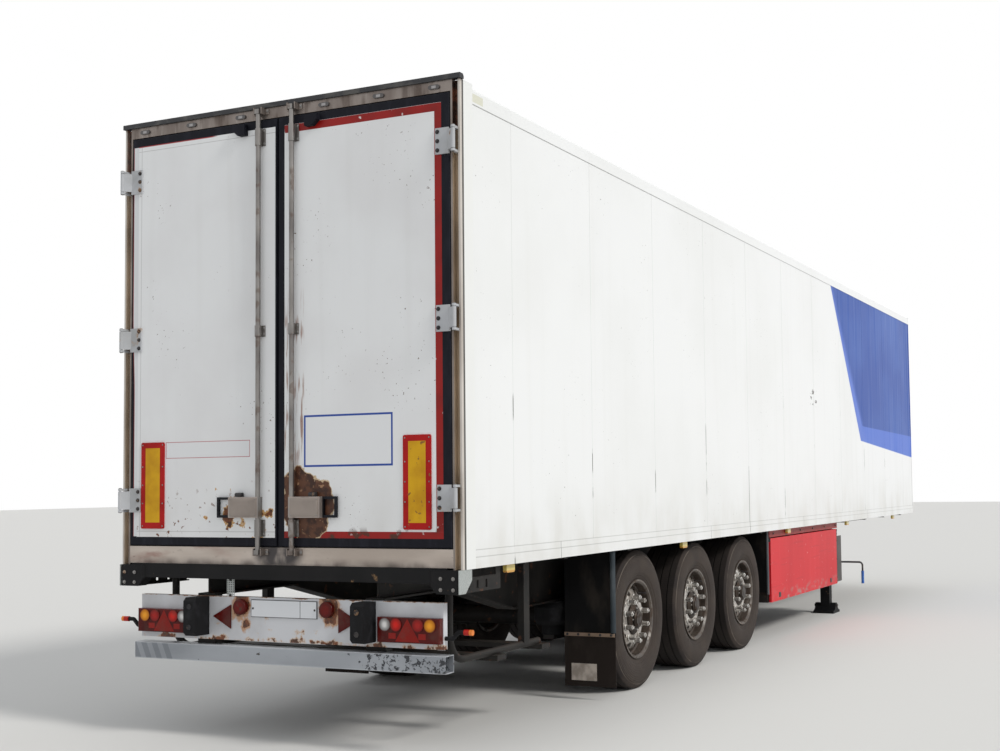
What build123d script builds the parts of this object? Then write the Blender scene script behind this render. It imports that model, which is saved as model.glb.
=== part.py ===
from build123d import *
from math import cos, pi, sin
import os

os.makedirs("parts", exist_ok=True)

# Three-axle refrigerated box semi trailer, standing on its wheels and landing legs.
# +X points to the tractor, +Y to the trailer's left, +Z up, and the ground is Z 0.
# Lengths are millimetres. "Ahead" is a distance forward from the doors' outer face.

# Insulated body
BODY_LENGTH = 13400
BODY_WIDTH = 2600
BODY_HEIGHT = 2900
WALL = 60
FRONT_WALL = 80
ROOF = 80
FLOOR_RISE = 15
FLOOR_THICKNESS = 120
RAIL_PROUD = 4
LOWER_RAIL_HEIGHT = 110
LOWER_RAIL_STEP = 67
UPPER_RAIL_HEIGHT = 100
UPPER_RAIL_CHAMFER = 18
FIRST_SEAM_AHEAD = 660
SEAM_PITCH = 1204
SEAM_WIDTH = 4
SEAM_DEPTH = 1
FRONT_CORNER_RADIUS = 55

# Rear frame
FRAME_DEPTH = 160
FRAME_SET_BACK = 6
POST_WIDTH = 64
OPENING_RISE = 120
STOP_WIDTH = 36
HEADER_RISE = 20
HEADER_HEIGHT = 70
GUTTER_THICKNESS = 30
GUTTER_DEPTH = 48
GUTTER_OVERHANG_BACK = 8
GUTTER_OVERHANG_SIDE = 10
SILL_HEIGHT = 110
CHANNEL_WIDTH = 38
CHANNEL_DEPTH = 40
CHANNEL_FLANGE = 13

# Rear doors
DOOR_CLEARANCE = 5
DOOR_JOINT_Y = 30
DOOR_MEETING_GAP = 10
LEAF_THICKNESS = 80
SEAL_WIDTH = 56
MEETING_SEAL_WIDTH = {"left": 12, "right": 50}
SEAL_DEPTH = 30
LEAF_BEHIND_SEAL = 38
SEAL_ROUND = 9

# Door hinges
HINGE_INBOARD = 20
HINGE_BEHIND_FACE = 42
HINGE_FROM_END = 296
STRAP_HEIGHT = 158
STRAP_THICKNESS = 12
STRAP_ON_LEAF = 92
STRAP_BEND = 8
KNUCKLE_HEIGHT = 120
KNUCKLE_RADIUS = 13
HINGE_PIN_RADIUS = 7
HINGE_PIN_CLEARANCE = 0.5
LUG_HEIGHT = 14
LUG_GAP = 4
LUG_WIDTH = 22
LUG_SIDE_GAP = 1

# Door locking gear
ROD_RADIUS = 15.5
ROD_FROM_JOINT = 130
ROD_STANDOFF = 28
ROD_END_CLEARANCE = 12
GUIDE_SLEEVE_RADIUS = 20.5
GUIDE_NECK_WIDTH = 26
GUIDE_FLANGE_WIDTH = 76
GUIDE_FLANGE_THICKNESS = 6
GUIDE_FROM_END = 116
GUIDE_SIZES = [105, 70, 110]
CAM_WIDTH = 34
CAM_HEIGHT = 30
CAM_REACH = 46
KEEPER_GAP = 8
KEEPER_CHEEK = 7
KEEPER_HEIGHT = 44
HANDLE_RISE = 247
HANDLE_CASE_LENGTH = 235
HANDLE_CASE_HEIGHT = 130
HANDLE_CASE_DEPTH = 44
HANDLE_LOOP_LENGTH = 95
HANDLE_LOOP_BAR = 16
HANDLE_TAPER = 14
CATCH_LENGTH = 95
CATCH_HEIGHT = 70
CATCH_DROP = 20
CATCH_DEPTH = 40
CATCH_GAP = 66

# Marker boards on the doors
BOARD_RISE = 110
BOARD_HEIGHT = 565
BOARD_WIDTH = 196
BOARD_THICKNESS = 6
BOARD_FROM_EDGE = {"left": 97, "right": 136}
BOARD_CORNER_RADIUS = 12

# Lamps on the body
HEADER_LAMP_FROM_SIDE = [175, 570, 975]
HEADER_LAMP_LENGTH = 78
HEADER_LAMP_HEIGHT = 26
HEADER_LAMP_DEPTH = 9
SIDE_LAMP_FIRST_AHEAD = [660, 3780, 6900]
SIDE_LAMP_PAST_LEG = 190
SIDE_LAMP_FROM_FRONT = 1300
SIDE_LAMP_LENGTH = 110
SIDE_LAMP_HEIGHT = 44
SIDE_LAMP_DEPTH = 26
SIDE_LAMP_DROP = 10
SIDE_LAMP_INSET = 44

# Rear crossbeam
CROSSBEAM_HEIGHT = 92
CROSSBEAM_DEPTH = 110
CROSSBEAM_BACK = 14
CROSSBEAM_INSET = 12
END_BUFFER_LENGTH = 200
END_BUFFER_DROP = 58
END_BUFFER_BACK = 26
END_BUFFER_SLOPE = 50
CORNER_PLATE_LENGTH = 150
CORNER_PLATE_HEIGHT = 140
CORNER_PLATE_THICKNESS = 6
CORNER_PLATE_CLIP = 75

# Chassis
RAIL_TRACK = BODY_WIDTH / 2
RAIL_FLANGE = 140
RAIL_FLANGE_THICKNESS = 12
RAIL_WEB = 10
RAIL_FRONT_SETBACK = 450
RAIL_DEPTH = 415
RAIL_REAR_DEPTH = 210
RAIL_NECK_DEPTH = 85
REAR_TAPER_AHEAD = (900, 1750)
NECK_TAPER_SETBACK = (3500, 2650)
CROSS_MEMBER_FIRST_AHEAD = 420
CROSS_MEMBER_LAST_SETBACK = 100
CROSS_MEMBER_COUNT = 12
CROSS_MEMBER_HEIGHT = 60
CROSS_MEMBER_WIDTH = 55
CROSS_MEMBER_WALL = 6
OUTRIGGER_HEIGHT = 38

# Coupling
KINGPIN_SETBACK = 1650
COUPLER_SETBACK = (2450, 500)
COUPLER_THICKNESS = 10
COUPLER_WIDTH = RAIL_TRACK + RAIL_FLANGE
COUPLER_CORNER_RADIUS = 60
KINGPIN_NECK_RADIUS = 25.4
KINGPIN_NECK_LENGTH = 35
KINGPIN_SHOULDER_RADIUS = 36.5
KINGPIN_SHOULDER_LENGTH = 19
KINGPIN_HEAD_RADIUS = 35.7
KINGPIN_HEAD_LENGTH = 30
KINGPIN_EDGE = 3
KINGPIN_FLANGE_RADIUS = 95
KINGPIN_FLANGE_THICKNESS = 14
KINGPIN_HOLE_CLEARANCE = 0.3

# Rear lamp panel and underrun guard
PANEL_AHEAD = 30
PANEL_DEPTH = 45
PANEL_INSET = 148
PANEL_HEIGHT = 275
PANEL_SHEET = 5
PANEL_HANGER_DEPTH = 70
GUARD_INSET = 120
GUARD_BOTTOM = 492
GUARD_HEIGHT = 105
GUARD_DEPTH = 100
GUARD_WALL = 5
CLUSTER_FROM_END = 4
CLUSTER_LENGTH = 435
CLUSTER_RISE = 35
CLUSTER_HEIGHT = 150
CLUSTER_DEPTH = 42
CLUSTER_LENS_PAST_INNER_END = [59, 137, 289, 372]
CLUSTER_LENS_RISE = 107
CLUSTER_LENS_RADIUS = 40
CLUSTER_LENS_PROUD = 5
ROUND_LAMP_PAST_TRIANGLE = 82
ROUND_LAMP_DROP = 63
ROUND_LAMP_RADIUS = 50
ROUND_LAMP_DEPTH = 30
TRIANGLE_PAST_BUFFER = 81
TRIANGLE_LENGTH = 142
TRIANGLE_DROP = 127
TRIANGLE_HALF_BASE = 76
TRIANGLE_DEPTH = 8
BUFFER_PAST_CLUSTER = 78
BUFFER_WIDTH = 92
BUFFER_RISE = 30
BUFFER_HEIGHT = 242
BUFFER_DEPTH = 140
BUFFER_CHAMFER = 22
PLATE_FROM_LAMPS = 28
PLATE_HEIGHT = 108
PLATE_DROP = 123
PLATE_THICKNESS = 6
MARKER_ARM_ABOVE_PANEL_FOOT = 105
MARKER_ARM_RADIUS = 13
MARKER_ARM_REACH = 185
MARKER_ARM_RISE = 40
MARKER_ARM_ROOT = 50
MARKER_ARM_BEND = 20
MARKER_LENS_LENGTH = 55
MARKER_LENS_RADIUS = 17

# Running gear
AXLE_AHEAD = [2920, 4230, 5540]
AXLE_NAMES = ["rear", "middle", "front"]
TYRE_RADIUS = 536
TYRE_WIDTH = 385
TYRE_INSET = 88
TYRE_HEADROOM = 28
TYRE_BEAD_CLEARANCE = 0.3
TYRE_SHOULDER_DROP = 31
TYRE_SHOULDER_INSET = 34.5
TYRE_BULGE_DROP = 121
TYRE_GROOVE_DEPTH = 9
TYRE_GROOVE_WIDTH = 12
TYRE_GROOVE_PLACES = [-105, -36, 36, 105]
RIM_RADIUS = 291.7
RIM_WALL = 13
RIM_FLANGE_RADIUS = 305
RIM_FLANGE_WIDTH = 14
RIM_INSET = 34.5
DISC_INSET = 70
DISC_THICKNESS = 20
DISC_BULGE = 42
HAND_HOLE_COUNT = 10
HAND_HOLE_RADIUS = 27
HAND_HOLE_CIRCLE = 214
NUT_CIRCLE = 167.5
NUT_COUNT = 10
NUT_RADIUS = 17
NUT_LENGTH = 58
HUB_RADIUS = 118
HUB_REACH = 30
HUB_CAP_RADIUS = 74
HUB_CAP_REACH = 20
BRAKE_DISC_RADIUS = 215
BRAKE_DISC_THICKNESS = 45
BRAKE_DISC_GAP = 164
AXLE_TUBE_RADIUS = 73
AXLE_HUB_GAP = 2
SPINDLE_RADIUS = 45
SPINDLE_CLEARANCE = 0.5
HANGER_LEAD = 500
HANGER_WIDTH = 110
HANGER_LENGTH = 190
HANGER_SHEET = 10
ARM_WIDTH = 90
ARM_HEIGHT = 62
ARM_EYE_RADIUS = 46
ARM_TAIL = 430
SPRING_BEHIND = 395
SPRING_RADIUS = 150
SPRING_PISTON_RADIUS = 95
SPRING_PISTON_HEIGHT = 90
SPRING_PLATE = 12

# Mudguards and flaps
SCREEN_REAR_AHEAD = AXLE_AHEAD[0] - 658
SCREEN_FRONT_AHEAD = AXLE_AHEAD[2] + 722
SCREEN_INSET = 85
SCREEN_THICKNESS = 6
SCREEN_POLE_RADIUS = 20
FLAP_THICKNESS = 8
FLAP_INNER_INSET = 428
FLAP_INSET = 15
FLAP_BOTTOM = 100
FLAP_TOP = 470
FLAP_STRIP_HEIGHT = 22
FRONT_FLAP_BOTTOM = 455

# Pallet box under the floor
BOX_AHEAD_OF_AXLE = 750
BOX_BEHIND_LEG = 220
BOX_BOTTOM = 372
BOX_DROP = 85
BOX_SHEET = 6
BOX_INSET = 95
BOX_END_WALL = 30
BOX_DOOR_THICKNESS = 24
BOX_DOOR_GAP = 8
BOX_DOOR_HINGE_DROP = 16
BOX_PIN_RADIUS = 6
BOX_PIN_LENGTH = 45
FASCIA_DROP = 2
FASCIA_GAP = 12
END_POST_AHEAD = 14
END_POST_LENGTH = 95
END_POST_WIDTH = 75
END_POST_DROP = 60

# Landing legs and crank
LEG_SETBACK = 4150
LEG_INSET = 270
LEG_OUTER = 140
LEG_INNER = 112
LEG_OUTER_BOTTOM = 430
LEG_OUTER_DROP = 105
LEG_FOOT_LENGTH = 300
LEG_FOOT_WIDTH = 250
LEG_FOOT_HEIGHT = 46
LEG_FOOT_AXLE_Z = 88
LEG_BRACE_THICKNESS = 10
LEG_SHAFT_RADIUS = 20
LEG_SHAFT_Z = 650
LEG_GEARBOX = (190, 70, 170)
CRANK_PAST_LEG = 180
CRANK_OVERREACH = 157
CRANK_BAR_RADIUS = 11
CRANK_DROP = 255
CRANK_Z = 600
CRANK_GRIP_RADIUS = 17
CRANK_GRIP_LENGTH = 150
CRANK_BEND_RADIUS = 40

# Carrier under the rear overhang
CRADLE_BAR_AHEAD = [810, 1440]
CRADLE_BAR_Z = 492
CRADLE_BAR_HEIGHT = 34
CRADLE_BAR_WIDTH = 120
CRADLE_INSET = 180
CRADLE_HANGER_AHEAD = 1230
CRADLE_HANGER_WIDTH = 80
HOOP_AHEAD = 250
HOOP_TUBE_RADIUS = 24
HOOP_INSET = 240
HOOP_SINK = 5
HOOP_BEND = 170
SLOT_RAIL_END_AHEAD = 560
SLOT_RAIL_DROP = (55, 145)
SLOT_RAIL_WALL = 8
SLOT_RAIL_FLANGE = 30
SLOT_RAIL_TAB = 60
SLOT_FIRST_AHEAD = 160
SLOT_LENGTH = 26
SLOT_HEIGHT = 50
SLOT_PITCH = 110
SLOT_COUNT = 3

# Air tanks, fuel tank and refrigeration unit
AIR_TANK_RADIUS = 138
AIR_TANK_LENGTH = 640
AIR_TANK_PAST_LEG = 450
AIR_TANK_INBOARD = 230
AIR_TANK_END = 46
FUEL_TANK_PAST_LEG = (770, 1650)
FUEL_TANK_RADIUS = 250
FUEL_TANK_INSET = 315
FUEL_TANK_DROP = 64
SADDLE_HALF_WIDTH = 90
FUEL_TANK_END = 40
STRAP_BAND = 50
STRAP_BAND_THICKNESS = 4
UNIT_DEPTH = 430
UNIT_INSET = 280
UNIT_RISE = 460
UNIT_DROP = 240
UNIT_CORNER_RADIUS = 120
UNIT_NOSE_SLOPE = 150
COUPLING_Y = [-270, -135, 0, 135, 270]
COUPLING_RISE = 230
COUPLING_RADIUS = 24
COUPLING_LENGTH = 60
COUPLING_BASE = 10

# Places that follow from the sizes above
REAR_X = -(BODY_LENGTH + UNIT_DEPTH + PANEL_AHEAD - BUFFER_DEPTH) / 2
FRONT_X = REAR_X + BODY_LENGTH
HALF_BODY = BODY_WIDTH / 2
BODY_BOTTOM = 2 * TYRE_RADIUS + TYRE_HEADROOM
BODY_TOP = BODY_BOTTOM + BODY_HEIGHT
FLOOR_BOTTOM = BODY_BOTTOM + FLOOR_RISE
FLOOR_TOP = FLOOR_BOTTOM + FLOOR_THICKNESS
OPENING_HALF_WIDTH = HALF_BODY - POST_WIDTH
OPENING_BOTTOM = BODY_BOTTOM + OPENING_RISE
HEADER_TOP = BODY_TOP + HEADER_RISE
OPENING_TOP = HEADER_TOP - HEADER_HEIGHT
LEAF_INNER_X = REAR_X + LEAF_THICKNESS
STOP_X = LEAF_INNER_X + DOOR_CLEARANCE
FRAME_X = REAR_X + FRAME_SET_BACK
FRAME_FRONT_X = REAR_X + FRAME_DEPTH
HINGE_X = REAR_X - HINGE_BEHIND_FACE
HINGE_Y = HALF_BODY - HINGE_INBOARD
DOOR_EDGE = OPENING_HALF_WIDTH - DOOR_CLEARANCE
DOOR_BOTTOM = OPENING_BOTTOM + DOOR_CLEARANCE
DOOR_TOP = OPENING_TOP - DOOR_CLEARANCE
DOOR_MIDDLE = (DOOR_BOTTOM + DOOR_TOP) / 2
HINGE_HEIGHTS = [DOOR_BOTTOM + HINGE_FROM_END, DOOR_MIDDLE, DOOR_TOP - HINGE_FROM_END]
GUIDE_HEIGHTS = [DOOR_BOTTOM + GUIDE_FROM_END, DOOR_MIDDLE, DOOR_TOP - GUIDE_FROM_END]
HANDLE_HEIGHT = DOOR_BOTTOM + HANDLE_RISE
BOARD_BOTTOM = DOOR_BOTTOM + BOARD_RISE
STOP_HALF_WIDTH = OPENING_HALF_WIDTH - STOP_WIDTH
RAIL_Y = RAIL_TRACK / 2
RAIL_TOP = FLOOR_BOTTOM
RAIL_BOTTOM = RAIL_TOP - RAIL_DEPTH
RAIL_REAR_BOTTOM = RAIL_TOP - RAIL_REAR_DEPTH
RAIL_FRONT_AHEAD = BODY_LENGTH - RAIL_FRONT_SETBACK
CROSS_MEMBER_LAST_AHEAD = RAIL_FRONT_AHEAD - CROSS_MEMBER_LAST_SETBACK
CROSS_MEMBER_PITCH = (CROSS_MEMBER_LAST_AHEAD - CROSS_MEMBER_FIRST_AHEAD) / (CROSS_MEMBER_COUNT - 1)
WHEEL_Y = HALF_BODY - TYRE_INSET - TYRE_WIDTH / 2
TYRE_SHOULDER_RADIUS = TYRE_RADIUS - TYRE_SHOULDER_DROP
TYRE_BULGE_RADIUS = TYRE_RADIUS - TYRE_BULGE_DROP
TYRE_TREAD_HALF = TYRE_WIDTH / 2 - TYRE_SHOULDER_INSET
RIM_HALF_WIDTH = TYRE_WIDTH / 2 - RIM_INSET
PANEL_HALF_WIDTH = HALF_BODY - PANEL_INSET
PANEL_TOP = RAIL_REAR_BOTTOM
PANEL_BOTTOM = PANEL_TOP - PANEL_HEIGHT
CLUSTER_OUTER = PANEL_HALF_WIDTH - CLUSTER_FROM_END
CLUSTER_INNER = CLUSTER_OUTER - CLUSTER_LENGTH
CLUSTER_BOTTOM = PANEL_BOTTOM + CLUSTER_RISE
BUFFER_Y = CLUSTER_INNER - BUFFER_PAST_CLUSTER
BUFFER_BOTTOM = PANEL_BOTTOM + BUFFER_RISE
TRIANGLE_TIP_Y = BUFFER_Y - TRIANGLE_PAST_BUFFER
TRIANGLE_BASE_Y = TRIANGLE_TIP_Y - TRIANGLE_LENGTH
TRIANGLE_Z = PANEL_TOP - TRIANGLE_DROP
ROUND_LAMP_Y = TRIANGLE_BASE_Y - ROUND_LAMP_PAST_TRIANGLE
ROUND_LAMP_Z = PANEL_TOP - ROUND_LAMP_DROP
PLATE_LENGTH = 2 * (ROUND_LAMP_Y - ROUND_LAMP_RADIUS - PLATE_FROM_LAMPS)
PLATE_BOTTOM = PANEL_TOP - PLATE_DROP
MARKER_ARM_Z = PANEL_BOTTOM + MARKER_ARM_ABOVE_PANEL_FOOT
GUARD_HALF_WIDTH = HALF_BODY - GUARD_INSET
SCREEN_OUTER_Y = HALF_BODY - SCREEN_INSET
FLAP_INNER_Y = HALF_BODY - FLAP_INNER_INSET
FLAP_OUTER_Y = HALF_BODY - FLAP_INSET
LEG_AHEAD = BODY_LENGTH - LEG_SETBACK
LEG_Y = HALF_BODY - LEG_INSET
LEG_OUTER_TOP = RAIL_TOP - LEG_OUTER_DROP
BOX_AHEAD = (AXLE_AHEAD[2] + BOX_AHEAD_OF_AXLE, LEG_AHEAD - BOX_BEHIND_LEG)
BOX_HALF_WIDTH = HALF_BODY - BOX_INSET
BOX_TOP = BODY_BOTTOM - BOX_DROP
COUPLER_Z = RAIL_TOP - RAIL_NECK_DEPTH - COUPLER_THICKNESS
KINGPIN_X = FRONT_X - KINGPIN_SETBACK
CROSSBEAM_FRONT_X = REAR_X + CROSSBEAM_DEPTH - CROSSBEAM_BACK
OUTRIGGER_END_Y = BOX_HALF_WIDTH + BOX_DOOR_GAP


def ahead(distance):
    """Return the X of a station measured forward from the doors' outer face."""
    return REAR_X + distance


def block(x0, x1, y0, y1, z0, z1):
    """Return a box between two opposite corners."""
    middle = Pos((x0 + x1) / 2, (y0 + y1) / 2, (z0 + z1) / 2)
    return middle * Box(abs(x1 - x0), abs(y1 - y0), abs(z1 - z0))


def other_side(shape):
    """Return the mirror image of a shape across the centre plane Y 0."""
    return mirror(shape, about=Plane.XZ)


def both_sides(shape):
    """Return a shape with its mirror image."""
    return [shape, other_side(shape)]


def prism_y(points, y0, y1):
    """Extrude an outline of (x, z) points from y0 to y1."""
    face = Plane.XZ * make_face(Polyline(*points, close=True))
    return Pos(0, y1, 0) * extrude(face, amount=y1 - y0)


def prism_x(points, x0, x1):
    """Extrude an outline of (y, z) points from x0 to x1."""
    face = Plane.YZ * make_face(Polyline(*points, close=True))
    return Pos(x0, 0, 0) * extrude(face, amount=x1 - x0)


def rod_along(axis, radius, start, length):
    """Return a round bar that starts at a point and runs along X, Y or Z."""
    direction = {"x": Vector(1, 0, 0), "y": Vector(0, 1, 0), "z": Vector(0, 0, 1)}[axis]
    return extrude(Plane(origin=start, z_dir=direction) * Circle(radius), amount=length)


def save(name, *shapes):
    """Write one node's solids to its STEP file."""
    solids = []
    for shape in shapes:
        for item in shape if isinstance(shape, (list, tuple)) else [shape]:
            solids.extend(item.solids())
    whole = solids[0] if len(solids) == 1 else Compound(children=solids)
    export_step(whole, "parts/" + name + ".step")


# Side walls: flush insulated panels between a stepped lower rail and an upper roof rail.
wall_outline = [
    (HALF_BODY - WALL, BODY_BOTTOM),
    (HALF_BODY, BODY_BOTTOM),
    (HALF_BODY, BODY_BOTTOM + LOWER_RAIL_STEP),
    (HALF_BODY - RAIL_PROUD / 2, BODY_BOTTOM + LOWER_RAIL_STEP),
    (HALF_BODY - RAIL_PROUD / 2, BODY_BOTTOM + LOWER_RAIL_HEIGHT),
    (HALF_BODY - RAIL_PROUD, BODY_BOTTOM + LOWER_RAIL_HEIGHT),
    (HALF_BODY - RAIL_PROUD, BODY_TOP - UPPER_RAIL_HEIGHT),
    (HALF_BODY, BODY_TOP - UPPER_RAIL_HEIGHT),
    (HALF_BODY, BODY_TOP - UPPER_RAIL_CHAMFER),
    (HALF_BODY - UPPER_RAIL_CHAMFER, BODY_TOP),
    (HALF_BODY - WALL, BODY_TOP),
]
left_wall = prism_x(wall_outline, FRAME_FRONT_X, FRONT_X - FRONT_WALL)
seam_ahead = FIRST_SEAM_AHEAD
while seam_ahead < BODY_LENGTH - FRONT_WALL - SEAM_WIDTH:
    left_wall -= block(
        ahead(seam_ahead) - SEAM_WIDTH / 2,
        ahead(seam_ahead) + SEAM_WIDTH / 2,
        HALF_BODY - RAIL_PROUD - SEAM_DEPTH,
        HALF_BODY + 1,
        BODY_BOTTOM + LOWER_RAIL_HEIGHT,
        BODY_TOP - UPPER_RAIL_HEIGHT,
    )
    seam_ahead += SEAM_PITCH
save("side_wall_left", left_wall)
save("side_wall_right", other_side(left_wall))

# Roof panel between the two walls, and the front wall with rounded corner posts.
inner_half = HALF_BODY - WALL
roof = block(FRAME_FRONT_X, FRONT_X - FRONT_WALL, -inner_half, inner_half, BODY_TOP - ROOF, BODY_TOP)
save("roof_panel", roof)

front_wall = block(FRONT_X - FRONT_WALL, FRONT_X, -HALF_BODY, HALF_BODY, BODY_BOTTOM, BODY_TOP)
front_edges = [e for e in front_wall.edges().filter_by(Axis.Z) if e.center().X > FRONT_X - 1]
front_wall = fillet(front_edges, FRONT_CORNER_RADIUS)
save("front_wall", front_wall)

# Floor panel: full width ahead of the rear frame, narrower between the frame's stops.
floor_outline = [
    (STOP_X, -STOP_HALF_WIDTH),
    (FRAME_FRONT_X, -STOP_HALF_WIDTH),
    (FRAME_FRONT_X, -inner_half),
    (FRONT_X - FRONT_WALL, -inner_half),
    (FRONT_X - FRONT_WALL, inner_half),
    (FRAME_FRONT_X, inner_half),
    (FRAME_FRONT_X, STOP_HALF_WIDTH),
    (STOP_X, STOP_HALF_WIDTH),
]
floor_face = make_face(Polyline(*floor_outline, close=True))
floor = Pos(0, 0, FLOOR_BOTTOM) * extrude(floor_face, amount=FLOOR_TOP - FLOOR_BOTTOM)
save("floor_panel", floor)

# Rear frame posts: rebated for the doors, with an open channel where the hinges sit.
post_outline = [
    (FRAME_X, OPENING_HALF_WIDTH),
    (FRAME_X, HALF_BODY - CHANNEL_FLANGE - CHANNEL_WIDTH),
    (FRAME_X + CHANNEL_DEPTH, HALF_BODY - CHANNEL_FLANGE - CHANNEL_WIDTH),
    (FRAME_X + CHANNEL_DEPTH, HALF_BODY - CHANNEL_FLANGE),
    (FRAME_X, HALF_BODY - CHANNEL_FLANGE),
    (FRAME_X, HALF_BODY),
    (FRAME_FRONT_X, HALF_BODY),
    (FRAME_FRONT_X, STOP_HALF_WIDTH),
    (STOP_X, STOP_HALF_WIDTH),
    (STOP_X, OPENING_HALF_WIDTH),
]
post_face = make_face(Polyline(*post_outline, close=True))
left_post = Pos(0, 0, BODY_BOTTOM) * extrude(post_face, amount=HEADER_TOP - BODY_BOTTOM)
save("rear_posts", both_sides(left_post))

# Rear header above the doors, with a deeper part ahead of them that they shut against.
header = block(FRAME_X, STOP_X, -OPENING_HALF_WIDTH, OPENING_HALF_WIDTH, OPENING_TOP, HEADER_TOP)
header += block(
    STOP_X, FRAME_FRONT_X, -STOP_HALF_WIDTH, STOP_HALF_WIDTH, OPENING_TOP - STOP_WIDTH, HEADER_TOP
)
save("rear_header", header)

# Roof gutter: a dark angle that caps the header and the ends of the posts.
gutter_half = HALF_BODY + GUTTER_OVERHANG_SIDE
gutter_front = REAR_X - GUTTER_OVERHANG_BACK + GUTTER_DEPTH
gutter_outline = [
    (REAR_X - GUTTER_OVERHANG_BACK, HEADER_TOP),
    (gutter_front, HEADER_TOP),
    (gutter_front, HEADER_TOP + GUTTER_THICKNESS / 2),
    (REAR_X + GUTTER_THICKNESS, HEADER_TOP + GUTTER_THICKNESS),
    (REAR_X - GUTTER_OVERHANG_BACK, HEADER_TOP + GUTTER_THICKNESS),
]
save("roof_gutter", prism_y(gutter_outline, -gutter_half, gutter_half))

# Rear sill: the pressed aluminium threshold between the posts.
sill = block(
    FRAME_X, STOP_X, -OPENING_HALF_WIDTH, OPENING_HALF_WIDTH, OPENING_BOTTOM - SILL_HEIGHT, OPENING_BOTTOM
)
save("rear_sill", sill)


# Rear doors. Every piece is made for one leaf, from its inner edge to its outer edge.
def door_ring(inner_edge, outer_edge, x0, x1, inset, meeting_inset):
    """Return a slab of one leaf inside its outline, with its own inset where the leaves meet."""
    way = 1 if outer_edge > inner_edge else -1
    near, far = inner_edge + way * meeting_inset, outer_edge - way * inset
    return block(x0, x1, near, far, DOOR_BOTTOM + inset, DOOR_TOP - inset)


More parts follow.
